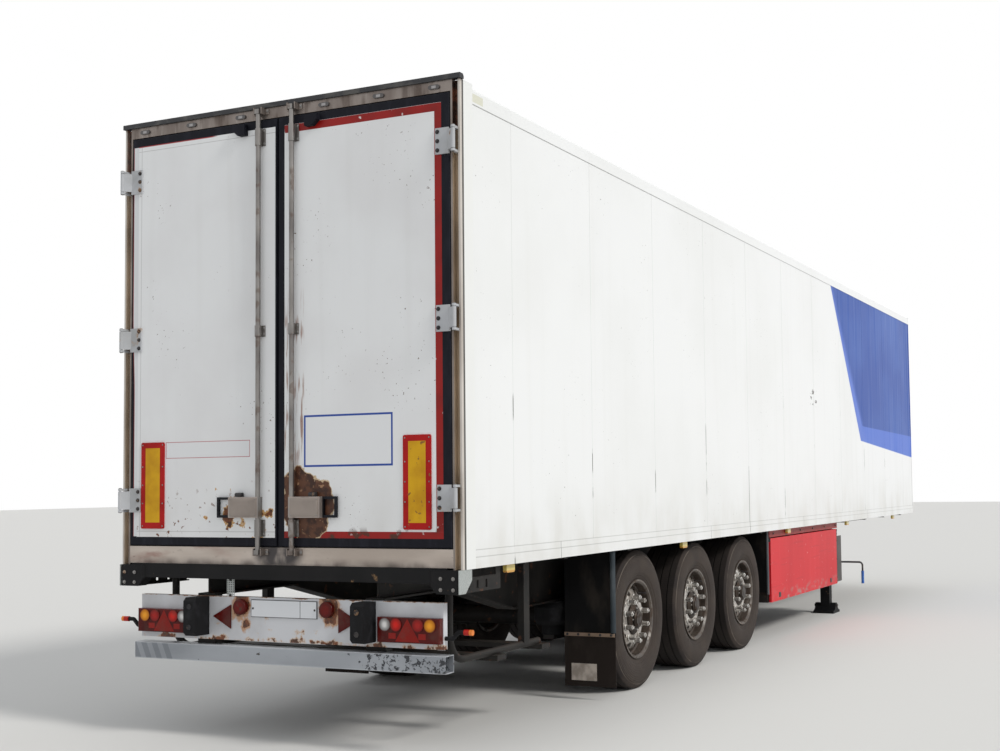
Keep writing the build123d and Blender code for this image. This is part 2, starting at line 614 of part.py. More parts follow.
lugs = []
for side, name in ((1, "left"), (-1, "right")):
    inner_edge = DOOR_JOINT_Y + side * DOOR_MEETING_GAP / 2
    outer_edge = side * DOOR_EDGE
    rod_y = DOOR_JOINT_Y + side * ROD_FROM_JOINT
    rod_x = REAR_X - ROD_STANDOFF

    # Leaf: a white faced panel, stepped so that its inner half reaches behind the seal.
    meeting_seal = MEETING_SEAL_WIDTH[name]
    leaf = door_ring(inner_edge, outer_edge, REAR_X, LEAF_INNER_X, SEAL_WIDTH, meeting_seal)
    leaf += door_ring(
        inner_edge, outer_edge, REAR_X + SEAL_DEPTH, LEAF_INNER_X, SEAL_WIDTH - LEAF_BEHIND_SEAL,
        meeting_seal * (1 - LEAF_BEHIND_SEAL / SEAL_WIDTH),
    )
    save("door_" + name, leaf)

    # Seal: a rubber frame round the leaf, rounded where it shows, and the rubber catch. The
    # right leaf's seal covers the joint between the leaves.
    seal = door_ring(inner_edge, outer_edge, REAR_X, REAR_X + SEAL_DEPTH, 0, 0)
    seal = fillet(seal.edges().group_by(Axis.X)[0], SEAL_ROUND)
    seal -= door_ring(
        inner_edge, outer_edge, REAR_X - 1, REAR_X + SEAL_DEPTH + 1, SEAL_WIDTH, meeting_seal
    )
    catch_y0 = rod_y + side * (GUIDE_FLANGE_WIDTH / 2 + CATCH_GAP)
    catch_y1 = catch_y0 + side * CATCH_LENGTH
    catch_z = DOOR_TOP - CATCH_DROP - CATCH_HEIGHT
    catch_points = [
        (catch_y0, catch_z + CATCH_HEIGHT),
        (catch_y0, catch_z),
        (catch_y1 - side * CATCH_DEPTH, catch_z),
        (catch_y1, catch_z + CATCH_HEIGHT / 2),
        (catch_y1, catch_z + CATCH_HEIGHT),
    ]
    catch = prism_x(catch_points, REAR_X - CATCH_DEPTH, REAR_X)
    save("door_seal_" + name, seal, catch)

    # Moving hinge straps: bolted to the leaf and cranked backwards to the knuckle on the pin. The
    # pin stands in two lugs that are let into the post's channel.
    strap_inner = side * (DOOR_EDGE - STRAP_ON_LEAF)
    straps = []
    for height in HINGE_HEIGHTS:
        strap = block(
            REAR_X - STRAP_THICKNESS, REAR_X, strap_inner, side * DOOR_EDGE,
            height - STRAP_HEIGHT / 2, height + STRAP_HEIGHT / 2,
        )
        arm_points = [
            (REAR_X, side * (DOOR_EDGE - STRAP_BEND)),
            (REAR_X - STRAP_THICKNESS, side * (DOOR_EDGE - STRAP_BEND)),
            (HINGE_X - KNUCKLE_RADIUS, side * HINGE_Y),
            (HINGE_X, side * HINGE_Y),
            (REAR_X, side * DOOR_EDGE),
        ]
        half = KNUCKLE_HEIGHT / 2
        arm_face = make_face(Polyline(*arm_points, close=True))
        strap += Pos(0, 0, height - half) * extrude(arm_face, amount=KNUCKLE_HEIGHT)
        strap += rod_along("z", KNUCKLE_RADIUS, (HINGE_X, side * HINGE_Y, height - half), KNUCKLE_HEIGHT)
        strap -= rod_along(
            "z",
            HINGE_PIN_RADIUS + HINGE_PIN_CLEARANCE,
            (HINGE_X, side * HINGE_Y, height - half - 1),
            KNUCKLE_HEIGHT + 2,
        )
        straps.append(strap)
        pin_foot = height - half - LUG_GAP - LUG_HEIGHT
        pin_length = KNUCKLE_HEIGHT + 2 * (LUG_GAP + LUG_HEIGHT)
        fixed = rod_along("z", HINGE_PIN_RADIUS, (HINGE_X, side * HINGE_Y, pin_foot), pin_length)
        lug_outer = HALF_BODY - CHANNEL_FLANGE - LUG_SIDE_GAP
        for foot in (pin_foot, height + half + LUG_GAP):
            fixed += rod_along("z", KNUCKLE_RADIUS, (HINGE_X, side * HINGE_Y, foot), LUG_HEIGHT)
            fixed += block(
                HINGE_X,
                FRAME_X + CHANNEL_DEPTH,
                side * (lug_outer - LUG_WIDTH),
                side * lug_outer,
                foot,
                foot + LUG_HEIGHT,
            )
        lugs.append(fixed)
    save("door_hinges_" + name, straps)

    # Lock rod: a turned bar with cams at both ends, held in guides and worked by a handle
    # whose rubber loop is let into the end of its case.
    rod_foot = OPENING_BOTTOM - KEEPER_HEIGHT
    rod_head = HEADER_TOP - ROD_END_CLEARANCE
    lock = rod_along("z", ROD_RADIUS, (rod_x, rod_y, rod_foot), rod_head - rod_foot)
    for cam_z in (rod_foot + CAM_HEIGHT / 2, rod_head - CAM_HEIGHT / 2):
        lock += block(
            REAR_X - CAM_REACH,
            REAR_X - ROD_RADIUS,
            rod_y - CAM_WIDTH / 2,
            rod_y + CAM_WIDTH / 2,
            cam_z - CAM_HEIGHT / 2,
            cam_z + CAM_HEIGHT / 2,
        )
    for guide_z, guide_height in zip(GUIDE_HEIGHTS, GUIDE_SIZES):
        lower, upper = guide_z - guide_height / 2, guide_z + guide_height / 2
        lock += rod_along("z", GUIDE_SLEEVE_RADIUS, (rod_x, rod_y, lower), guide_height)
        lock += block(
            rod_x, REAR_X, rod_y - GUIDE_NECK_WIDTH / 2, rod_y + GUIDE_NECK_WIDTH / 2, lower, upper
        )
        lock += block(
            REAR_X - GUIDE_FLANGE_THICKNESS,
            REAR_X,
            rod_y - GUIDE_FLANGE_WIDTH / 2,
            rod_y + GUIDE_FLANGE_WIDTH / 2,
            lower,
            upper,
        )
    case_end = rod_y + side * HANDLE_CASE_LENGTH
    half = HANDLE_CASE_HEIGHT / 2
    case_points = [
        (REAR_X, rod_y - side * HANDLE_TAPER),
        (REAR_X - HANDLE_CASE_DEPTH, rod_y - side * HANDLE_TAPER),
        (REAR_X - HANDLE_CASE_DEPTH, case_end - side * HANDLE_TAPER),
        (REAR_X, case_end),
    ]
    case_face = make_face(Polyline(*case_points, close=True))
    lock += Pos(0, 0, HANDLE_HEIGHT - half) * extrude(case_face, amount=HANDLE_CASE_HEIGHT)
    loop_end = case_end + side * HANDLE_LOOP_LENGTH
    loop_x = REAR_X - HANDLE_LOOP_BAR - DOOR_CLEARANCE
    loop = block(
        loop_x, loop_x + HANDLE_LOOP_BAR, case_end - side * 2 * HANDLE_TAPER, loop_end, HANDLE_HEIGHT - half,
        HANDLE_HEIGHT + half,
    )
    lock -= loop
    loop -= block(
        loop_x - 1,
        loop_x + HANDLE_LOOP_BAR + 1,
        case_end,
        loop_end - side * HANDLE_LOOP_BAR,
        HANDLE_HEIGHT - half + HANDLE_LOOP_BAR,
        HANDLE_HEIGHT + half - HANDLE_LOOP_BAR,
    )
    save("door_lock_" + name, lock, loop)

    # Marker board: an upright plate with rounded corners on the outer part of the leaf.
    board_outer = DOOR_EDGE - BOARD_FROM_EDGE[name]
    board = block(
        REAR_X - BOARD_THICKNESS,
        REAR_X,
        side * (board_outer - BOARD_WIDTH),
        side * board_outer,
        BOARD_BOTTOM,
        BOARD_BOTTOM + BOARD_HEIGHT,
    )
    save("marker_board_" + name, fillet(board.edges().filter_by(Axis.X), BOARD_CORNER_RADIUS))

save("hinge_lugs", lugs)

# Keepers: pairs of cheeks on the header and the sill that hold the cams.
keepers = []
for rod_y in (DOOR_JOINT_Y - ROD_FROM_JOINT, DOOR_JOINT_Y + ROD_FROM_JOINT):
    cheek_half = CAM_WIDTH / 2 + KEEPER_GAP
    for foot, top in (
        (HEADER_TOP - KEEPER_HEIGHT, HEADER_TOP),
        (OPENING_BOTTOM - KEEPER_HEIGHT - 6, OPENING_BOTTOM - 6),
    ):
        for cheek_side in (-1, 1):
            keepers.append(
                block(
                    REAR_X - CAM_REACH + KEEPER_GAP,
                    FRAME_X,
                    rod_y + cheek_side * cheek_half,
                    rod_y + cheek_side * (cheek_half + KEEPER_CHEEK),
                    foot,
                    top,
                )
            )
save("lock_keepers", keepers)

# Marker lamps: six on the header and a row along each lower edge of the body.
lamps = []
header_lamp_places = [HALF_BODY - place for place in HEADER_LAMP_FROM_SIDE]
for lamp_y in header_lamp_places + [-place for place in header_lamp_places]:
    lamp_face = Plane(
        origin=(FRAME_X, lamp_y, (OPENING_TOP + HEADER_TOP) / 2), x_dir=(0, 1, 0), z_dir=(-1, 0, 0)
    ) * SlotOverall(HEADER_LAMP_LENGTH, HEADER_LAMP_HEIGHT)
    lamps.append(extrude(lamp_face, amount=HEADER_LAMP_DEPTH))
side_lamp_places = SIDE_LAMP_FIRST_AHEAD + [LEG_AHEAD + SIDE_LAMP_PAST_LEG, BODY_LENGTH - SIDE_LAMP_FROM_FRONT]
for lamp_ahead in side_lamp_places:
    lamp = block(
        ahead(lamp_ahead) - SIDE_LAMP_LENGTH / 2,
        ahead(lamp_ahead) + SIDE_LAMP_LENGTH / 2,
        HALF_BODY - SIDE_LAMP_INSET - SIDE_LAMP_DEPTH / 2,
        HALF_BODY - SIDE_LAMP_INSET + SIDE_LAMP_DEPTH / 2,
        BODY_BOTTOM - SIDE_LAMP_DROP - SIDE_LAMP_HEIGHT,
        BODY_BOTTOM,
    )
    lamp = fillet(lamp.edges().filter_by(Axis.Y), SIDE_LAMP_HEIGHT / 3)
    lamps.extend(both_sides(lamp))
save("marker_lamps", lamps)

# Rear crossbeam with its bolted end buffers, and the galvanised corner plates.
beam_top = OPENING_BOTTOM - SILL_HEIGHT
beam_bottom = beam_top - CROSSBEAM_HEIGHT
beam_half = HALF_BODY - CROSSBEAM_INSET
crossbeam = block(
    REAR_X - CROSSBEAM_BACK, CROSSBEAM_FRONT_X, -beam_half, beam_half,
    beam_bottom, BODY_BOTTOM,
)
crossbeam += block(
    REAR_X - CROSSBEAM_BACK, STOP_X, -STOP_HALF_WIDTH, STOP_HALF_WIDTH, BODY_BOTTOM, beam_top
)
end_buffer_points = [
    (beam_half, BODY_BOTTOM),
    (beam_half, beam_bottom - END_BUFFER_DROP),
    (beam_half - END_BUFFER_LENGTH + END_BUFFER_SLOPE, beam_bottom - END_BUFFER_DROP),
    (beam_half - END_BUFFER_LENGTH, beam_bottom),
    (beam_half - END_BUFFER_LENGTH, BODY_BOTTOM),
]
end_buffer = prism_x(end_buffer_points, REAR_X - END_BUFFER_BACK, REAR_X + CROSSBEAM_DEPTH / 2)
end_buffer = chamfer(end_buffer.edges().filter_by(Axis.Z).group_by(Axis.X)[0], 14)
save("rear_crossbeam", crossbeam + end_buffer + other_side(end_buffer))

plate_x0 = REAR_X - END_BUFFER_BACK
plate_z1 = BODY_BOTTOM
plate_z0 = plate_z1 - CORNER_PLATE_HEIGHT
corner_points = [
    (plate_x0, plate_z1),
    (plate_x0, plate_z0),
    (plate_x0 + CORNER_PLATE_LENGTH - CORNER_PLATE_CLIP, plate_z0),
    (plate_x0 + CORNER_PLATE_LENGTH, plate_z0 + CORNER_PLATE_CLIP),
    (plate_x0 + CORNER_PLATE_LENGTH, plate_z1),
]
corner_plate = prism_y(corner_points, beam_half, beam_half + CORNER_PLATE_THICKNESS)
save("corner_plates", both_sides(corner_plate))

# Chassis rails: two I beams, shallow at the rear end and in the neck over the tractor. A box
# hanger at each rear end carries the lamp panel and the underrun guard.
underside = [
    (CROSSBEAM_FRONT_X, RAIL_REAR_BOTTOM),
    (ahead(REAR_TAPER_AHEAD[0]), RAIL_REAR_BOTTOM),
    (ahead(REAR_TAPER_AHEAD[1]), RAIL_BOTTOM),
    (FRONT_X - NECK_TAPER_SETBACK[0], RAIL_BOTTOM),
    (FRONT_X - NECK_TAPER_SETBACK[1], RAIL_TOP - RAIL_NECK_DEPTH),
    (ahead(RAIL_FRONT_AHEAD), RAIL_TOP - RAIL_NECK_DEPTH),
]
flange_in, flange_out = RAIL_Y - RAIL_FLANGE / 2, RAIL_Y + RAIL_FLANGE / 2
lifted = [(x, z + RAIL_FLANGE_THICKNESS) for x, z in underside]
web_points = lifted + [(underside[-1][0], RAIL_TOP), (underside[0][0], RAIL_TOP)]
rail = prism_y(web_points, RAIL_Y - RAIL_WEB / 2, RAIL_Y + RAIL_WEB / 2)
rail += prism_y(underside + lifted[::-1], flange_in, flange_out)
rail += block(
    underside[0][0], underside[-1][0], flange_in, flange_out, RAIL_TOP - RAIL_FLANGE_THICKNESS, RAIL_TOP
)
hanger_x = ahead(PANEL_AHEAD + PANEL_DEPTH)
rail += block(
    hanger_x,
    hanger_x + PANEL_HANGER_DEPTH,
    flange_in,
    flange_out,
    GUARD_BOTTOM + GUARD_HEIGHT,
    RAIL_REAR_BOTTOM + RAIL_FLANGE_THICKNESS,
)
save("chassis_rails", both_sides(rail))

# Cross members: open channels between the rails and outriggers to the body's sides.
member_spans = [
    (-flange_in, flange_in, CROSS_MEMBER_HEIGHT),
    (flange_out, OUTRIGGER_END_Y, OUTRIGGER_HEIGHT),
    (-OUTRIGGER_END_Y, -flange_out, OUTRIGGER_HEIGHT),
]
members = []
for index in range(CROSS_MEMBER_COUNT):
    member_x = ahead(CROSS_MEMBER_FIRST_AHEAD + index * CROSS_MEMBER_PITCH)
    for span_start, span_end, height in member_spans:
        channel_points = [
            (member_x, RAIL_TOP),
            (member_x, RAIL_TOP - height),
            (member_x + CROSS_MEMBER_WIDTH, RAIL_TOP - height),
            (member_x + CROSS_MEMBER_WIDTH, RAIL_TOP - height + CROSS_MEMBER_WALL),
            (member_x + CROSS_MEMBER_WALL, RAIL_TOP - height + CROSS_MEMBER_WALL),
            (member_x + CROSS_MEMBER_WALL, RAIL_TOP - CROSS_MEMBER_WALL),
            (member_x + CROSS_MEMBER_WIDTH, RAIL_TOP - CROSS_MEMBER_WALL),
            (member_x + CROSS_MEMBER_WIDTH, RAIL_TOP),
        ]
        members.append(prism_y(channel_points, span_start, span_end))
save("cross_members", members)

# Coupler plate under the neck, and the kingpin that locks in the fifth wheel.
coupler = block(
    FRONT_X - COUPLER_SETBACK[0], FRONT_X - COUPLER_SETBACK[1], -COUPLER_WIDTH / 2, COUPLER_WIDTH / 2,
    COUPLER_Z, COUPLER_Z + COUPLER_THICKNESS,
)
coupler = fillet(coupler.edges().filter_by(Axis.Z), COUPLER_CORNER_RADIUS)
coupler -= rod_along(
    "z",
    KINGPIN_SHOULDER_RADIUS + KINGPIN_HOLE_CLEARANCE,
    (KINGPIN_X, 0, COUPLER_Z - 1),
    COUPLER_THICKNESS + 2,
)
save("coupler_plate", coupler)

pin_steps = [
    (KINGPIN_SHOULDER_RADIUS, COUPLER_THICKNESS + KINGPIN_SHOULDER_LENGTH),
    (KINGPIN_NECK_RADIUS, KINGPIN_NECK_LENGTH),
    (KINGPIN_HEAD_RADIUS, KINGPIN_HEAD_LENGTH),
]
pin_top = COUPLER_Z + COUPLER_THICKNESS
kingpin = rod_along("z", KINGPIN_FLANGE_RADIUS, (KINGPIN_X, 0, pin_top), KINGPIN_FLANGE_THICKNESS)
for step_radius, step_length in pin_steps:
    pin_top -= step_length
    kingpin += rod_along("z", step_radius, (KINGPIN_X, 0, pin_top), step_length)
kingpin = chamfer(kingpin.edges().group_by(Axis.Z)[0], KINGPIN_EDGE)
save("kingpin", kingpin)

# Rear lamp panel: a folded tray open at the front, with a blank plate carrier on its face.
panel_x0, panel_x1 = ahead(PANEL_AHEAD), ahead(PANEL_AHEAD + PANEL_DEPTH)
panel = block(panel_x0, panel_x1, -PANEL_HALF_WIDTH, PANEL_HALF_WIDTH, PANEL_BOTTOM, PANEL_TOP)
panel -= block(
    panel_x0 + PANEL_SHEET,
    panel_x1 + 1,
    PANEL_SHEET - PANEL_HALF_WIDTH,
    PANEL_HALF_WIDTH - PANEL_SHEET,
    PANEL_BOTTOM + PANEL_SHEET,
    PANEL_TOP - PANEL_SHEET,
)
plate = block(
    panel_x0 - PLATE_THICKNESS, panel_x0, -PLATE_LENGTH / 2, PLATE_LENGTH / 2, PLATE_BOTTOM,
    PLATE_BOTTOM + PLATE_HEIGHT,
)
save("lamp_panel", panel + plate)

# Underrun guard: an open ended rectangular tube across the back.
guard_x0 = REAR_X
guard_top = GUARD_BOTTOM + GUARD_HEIGHT
guard = block(
    guard_x0, guard_x0 + GUARD_DEPTH, -GUARD_HALF_WIDTH, GUARD_HALF_WIDTH, GUARD_BOTTOM, guard_top
)
guard -= block(
    guard_x0 + GUARD_WALL,
    guard_x0 + GUARD_DEPTH - GUARD_WALL,
    -GUARD_HALF_WIDTH - 1,
    GUARD_HALF_WIDTH + 1,
    GUARD_BOTTOM + GUARD_WALL,
    guard_top - GUARD_WALL,
)
save("underrun_guard", guard)

# Rear lamps: a cluster with four round lenses, a round lamp and a triangle.
cluster = block(
    panel_x0 - CLUSTER_DEPTH, panel_x0, CLUSTER_INNER, CLUSTER_OUTER, CLUSTER_BOTTOM,
    CLUSTER_BOTTOM + CLUSTER_HEIGHT,
)
cluster = fillet(cluster.edges().group_by(Axis.X)[0], 8)
lens_x = panel_x0 - CLUSTER_DEPTH - CLUSTER_LENS_PROUD
for lens_place in CLUSTER_LENS_PAST_INNER_END:
    lens_centre = (lens_x, CLUSTER_INNER + lens_place, CLUSTER_BOTTOM + CLUSTER_LENS_RISE)
    cluster += rod_along("x", CLUSTER_LENS_RADIUS, lens_centre, CLUSTER_LENS_PROUD + CLUSTER_DEPTH)
round_lamp = rod_along(
    "x", ROUND_LAMP_RADIUS, (panel_x0 - ROUND_LAMP_DEPTH, ROUND_LAMP_Y, ROUND_LAMP_Z), ROUND_LAMP_DEPTH
)
round_lamp = fillet(round_lamp.edges().group_by(Axis.X)[0], 9)
triangle_points = [
    (TRIANGLE_BASE_Y, TRIANGLE_Z - TRIANGLE_HALF_BASE),
    (TRIANGLE_BASE_Y, TRIANGLE_Z + TRIANGLE_HALF_BASE),
    (TRIANGLE_TIP_Y, TRIANGLE_Z),
]
triangle = prism_x(triangle_points, panel_x0 - TRIANGLE_DEPTH, panel_x0)

# Rubber dock buffers and the rubber marker arms at the panel's ends.
buffer_outline = [
    (panel_x0, BUFFER_BOTTOM),
    (panel_x0 - BUFFER_DEPTH + BUFFER_CHAMFER, BUFFER_BOTTOM),
    (panel_x0 - BUFFER_DEPTH, BUFFER_BOTTOM + BUFFER_CHAMFER),
    (panel_x0 - BUFFER_DEPTH, BUFFER_BOTTOM + BUFFER_HEIGHT - BUFFER_CHAMFER),
    (panel_x0 - BUFFER_DEPTH + BUFFER_CHAMFER, BUFFER_BOTTOM + BUFFER_HEIGHT),
    (panel_x0, BUFFER_BOTTOM + BUFFER_HEIGHT),
]
rubber = prism_y(buffer_outline, BUFFER_Y - BUFFER_WIDTH / 2, BUFFER_Y + BUFFER_WIDTH / 2)
arm_x = (panel_x0 + panel_x1) / 2
arm_z = MARKER_ARM_Z - MARKER_ARM_RISE
arm_root_y = PANEL_HALF_WIDTH + MARKER_ARM_ROOT
arm_end_y = PANEL_HALF_WIDTH + MARKER_ARM_REACH - MARKER_LENS_LENGTH
arm_path = FilletPolyline(
    (arm_x, PANEL_HALF_WIDTH, arm_z),
    (arm_x, arm_root_y, arm_z),
    (arm_x, arm_root_y + MARKER_ARM_RISE, MARKER_ARM_Z),
    (arm_x, arm_end_y, MARKER_ARM_Z),
    radius=MARKER_ARM_BEND,
)
marker_arm = sweep(
    Plane(origin=(arm_x, PANEL_HALF_WIDTH, arm_z), z_dir=(0, 1, 0)) * Circle(MARKER_ARM_RADIUS),
    path=arm_path,
)
save("rubber_buffers", both_sides(rubber), both_sides(marker_arm))
marker_lens = rod_along(
    "y",
    MARKER_LENS_RADIUS,
    (arm_x, arm_end_y, MARKER_ARM_Z),
    MARKER_LENS_LENGTH,
)
save(
    "rear_lamps", both_sides(cluster), both_sides(round_lamp), both_sides(triangle), both_sides(marker_lens)
)

# Wheels. The tyre is one turned ring with four tread grooves; the disc wheel bulges out to its nuts.
tread_points = [(TYRE_RADIUS - 4, TYRE_TREAD_HALF)]
for groove in sorted(TYRE_GROOVE_PLACES, reverse=True):
    tread_points += [
        (TYRE_RADIUS, groove + TYRE_GROOVE_WIDTH / 2),
        (TYRE_RADIUS - TYRE_GROOVE_DEPTH, groove + TYRE_GROOVE_WIDTH / 2),
        (TYRE_RADIUS - TYRE_GROOVE_DEPTH, groove - TYRE_GROOVE_WIDTH / 2),
        (TYRE_RADIUS, groove - TYRE_GROOVE_WIDTH / 2),
    ]
tread_points.append((TYRE_RADIUS - 4, -TYRE_TREAD_HALF))
upper_side = [
    (RIM_RADIUS + TYRE_BEAD_CLEARANCE, RIM_HALF_WIDTH - 7),
    (RIM_FLANGE_RADIUS + 5, RIM_HALF_WIDTH + 2),
    (TYRE_BULGE_RADIUS - 50, TYRE_WIDTH / 2 - 6),
    (TYRE_BULGE_RADIUS - 25, TYRE_WIDTH / 2 - 2),
    (TYRE_BULGE_RADIUS, TYRE_WIDTH / 2),
    (TYRE_BULGE_RADIUS + 25, TYRE_WIDTH / 2 - 1),
    (TYRE_BULGE_RADIUS + 50, TYRE_WIDTH / 2 - 5),
    (TYRE_SHOULDER_RADIUS - 18, TYRE_WIDTH / 2 - 10),
    (TYRE_SHOULDER_RADIUS, TYRE_WIDTH / 2 - 17),
    (TYRE_SHOULDER_RADIUS + 14, TYRE_WIDTH / 2 - 24),
    (TYRE_SHOULDER_RADIUS + 23, TYRE_WIDTH / 2 - 30),
]
lower_side = [(r, -w) for r, w in reversed(upper_side)]
tyre_profile = upper_side + tread_points + lower_side
tyre_face = make_face(Polyline(*[(0, w, r) for r, w in tyre_profile], close=True))
tyre_ring = revolve(tyre_face, axis=Axis.Y, revolution_arc=360)

# Disc wheel, drawn for the left side with its outer face towards +Y.
disc_y = RIM_HALF_WIDTH - DISC_INSET
rim_profile = [
    (RIM_FLANGE_RADIUS, RIM_HALF_WIDTH + RIM_FLANGE_WIDTH),
    (RIM_FLANGE_RADIUS, RIM_HALF_WIDTH + 3),
    (RIM_RADIUS, RIM_HALF_WIDTH - 5),
    (RIM_RADIUS, 5 - RIM_HALF_WIDTH),
    (RIM_FLANGE_RADIUS, -RIM_HALF_WIDTH - 3),
    (RIM_FLANGE_RADIUS, -RIM_HALF_WIDTH - RIM_FLANGE_WIDTH),
    (RIM_FLANGE_RADIUS - RIM_WALL, -RIM_HALF_WIDTH - RIM_FLANGE_WIDTH),
    (RIM_RADIUS - RIM_WALL, -RIM_HALF_WIDTH),
    (RIM_RADIUS - RIM_WALL, disc_y - DISC_THICKNESS),
    (RIM_RADIUS - 2 * RIM_WALL, disc_y - DISC_THICKNESS - 4),
    (HAND_HOLE_CIRCLE - 30, disc_y + DISC_BULGE - DISC_THICKNESS),
    (HUB_RADIUS, disc_y + DISC_BULGE - DISC_THICKNESS),
    (HUB_RADIUS, disc_y + DISC_BULGE),
    (HAND_HOLE_CIRCLE - 26, disc_y + DISC_BULGE),
    (RIM_RADIUS - 2 * RIM_WALL, disc_y),
    (RIM_RADIUS - RIM_WALL, disc_y + 6),
    (RIM_RADIUS - RIM_WALL, RIM_HALF_WIDTH),
    (RIM_FLANGE_RADIUS - RIM_WALL, RIM_HALF_WIDTH + RIM_FLANGE_WIDTH),
]
rim_face = make_face(Polyline(*[(0, w, r) for r, w in rim_profile], close=True))
disc_wheel = revolve(rim_face, axis=Axis.Y, revolution_arc=360)
hub_back = disc_y + DISC_BULGE - DISC_THICKNESS
for hole_index in range(HAND_HOLE_COUNT):
    angle = 2 * pi * hole_index / HAND_HOLE_COUNT
    centre = (HAND_HOLE_CIRCLE * cos(angle), hub_back - 60, HAND_HOLE_CIRCLE * sin(angle))
    disc_wheel -= rod_along("y", HAND_HOLE_RADIUS, centre, 200)
nut_seat = disc_y + DISC_BULGE
for nut_index in range(NUT_COUNT):
    angle = 2 * pi * (nut_index + 0.5) / NUT_COUNT
    centre = (NUT_CIRCLE * cos(angle), nut_seat, NUT_CIRCLE * sin(angle))
    nut_face = Plane(origin=centre, z_dir=(0, 1, 0)) * RegularPolygon(NUT_RADIUS, 6)
    disc_wheel += extrude(nut_face, amount=NUT_LENGTH)

# Hub with its cap and the brake disc that turns with it, bored for the spindle.
hub_inner = hub_back - BRAKE_DISC_GAP - BRAKE_DISC_THICKNESS
hub_profile = [
    (SPINDLE_RADIUS + SPINDLE_CLEARANCE, hub_inner),
    (BRAKE_DISC_RADIUS, hub_inner),
    (BRAKE_DISC_RADIUS, hub_inner + BRAKE_DISC_THICKNESS),
    (HUB_RADIUS + 12, hub_inner + BRAKE_DISC_THICKNESS),
    (HUB_RADIUS + 12, hub_back),
    (HUB_RADIUS, hub_back),
    (HUB_RADIUS, nut_seat + HUB_REACH - 22),
    (HUB_CAP_RADIUS + 14, nut_seat + HUB_REACH),
    (HUB_CAP_RADIUS, nut_seat + HUB_REACH),
    (HUB_CAP_RADIUS, nut_seat + HUB_REACH + HUB_CAP_REACH - 10),
    (HUB_CAP_RADIUS - 12, nut_seat + HUB_REACH + HUB_CAP_REACH),
    (0, nut_seat + HUB_REACH + HUB_CAP_REACH),
    (0, nut_seat + HUB_REACH - 22),
    (SPINDLE_RADIUS + SPINDLE_CLEARANCE, nut_seat + HUB_REACH - 22),
]
hub_face = make_face(Polyline(*[(0, w, r) for r, w in hub_profile], close=True))
disc_wheel += revolve(hub_face, axis=Axis.Y, revolution_arc=360)
right_wheel = other_side(disc_wheel)

for axle_name, axle_ahead in zip(AXLE_NAMES, AXLE_AHEAD):
    for side, name, wheel in ((1, "left", disc_wheel), (-1, "right", right_wheel)):
        place = Pos(ahead(axle_ahead), side * WHEEL_Y, TYRE_RADIUS)
        save("tyre_" + axle_name + "_" + name, place * tyre_ring)
        save("wheel_" + axle_name + "_" + name, place * wheel)

# Axles: a round beam with a spindle at each end that runs in the hub.
spindle_tip = WHEEL_Y + nut_seat + HUB_REACH - 24
beam_tip = WHEEL_Y + hub_inner - AXLE_HUB_GAP
axles = []
for axle_ahead in AXLE_AHEAD:
    axle = rod_along("y", AXLE_TUBE_RADIUS, (ahead(axle_ahead), -beam_tip, TYRE_RADIUS), 2 * beam_tip)
    axle += rod_along("y", SPINDLE_RADIUS, (ahead(axle_ahead), -spindle_tip, TYRE_RADIUS), 2 * spindle_tip)
    axles.append(axle)
save("axles", axles)

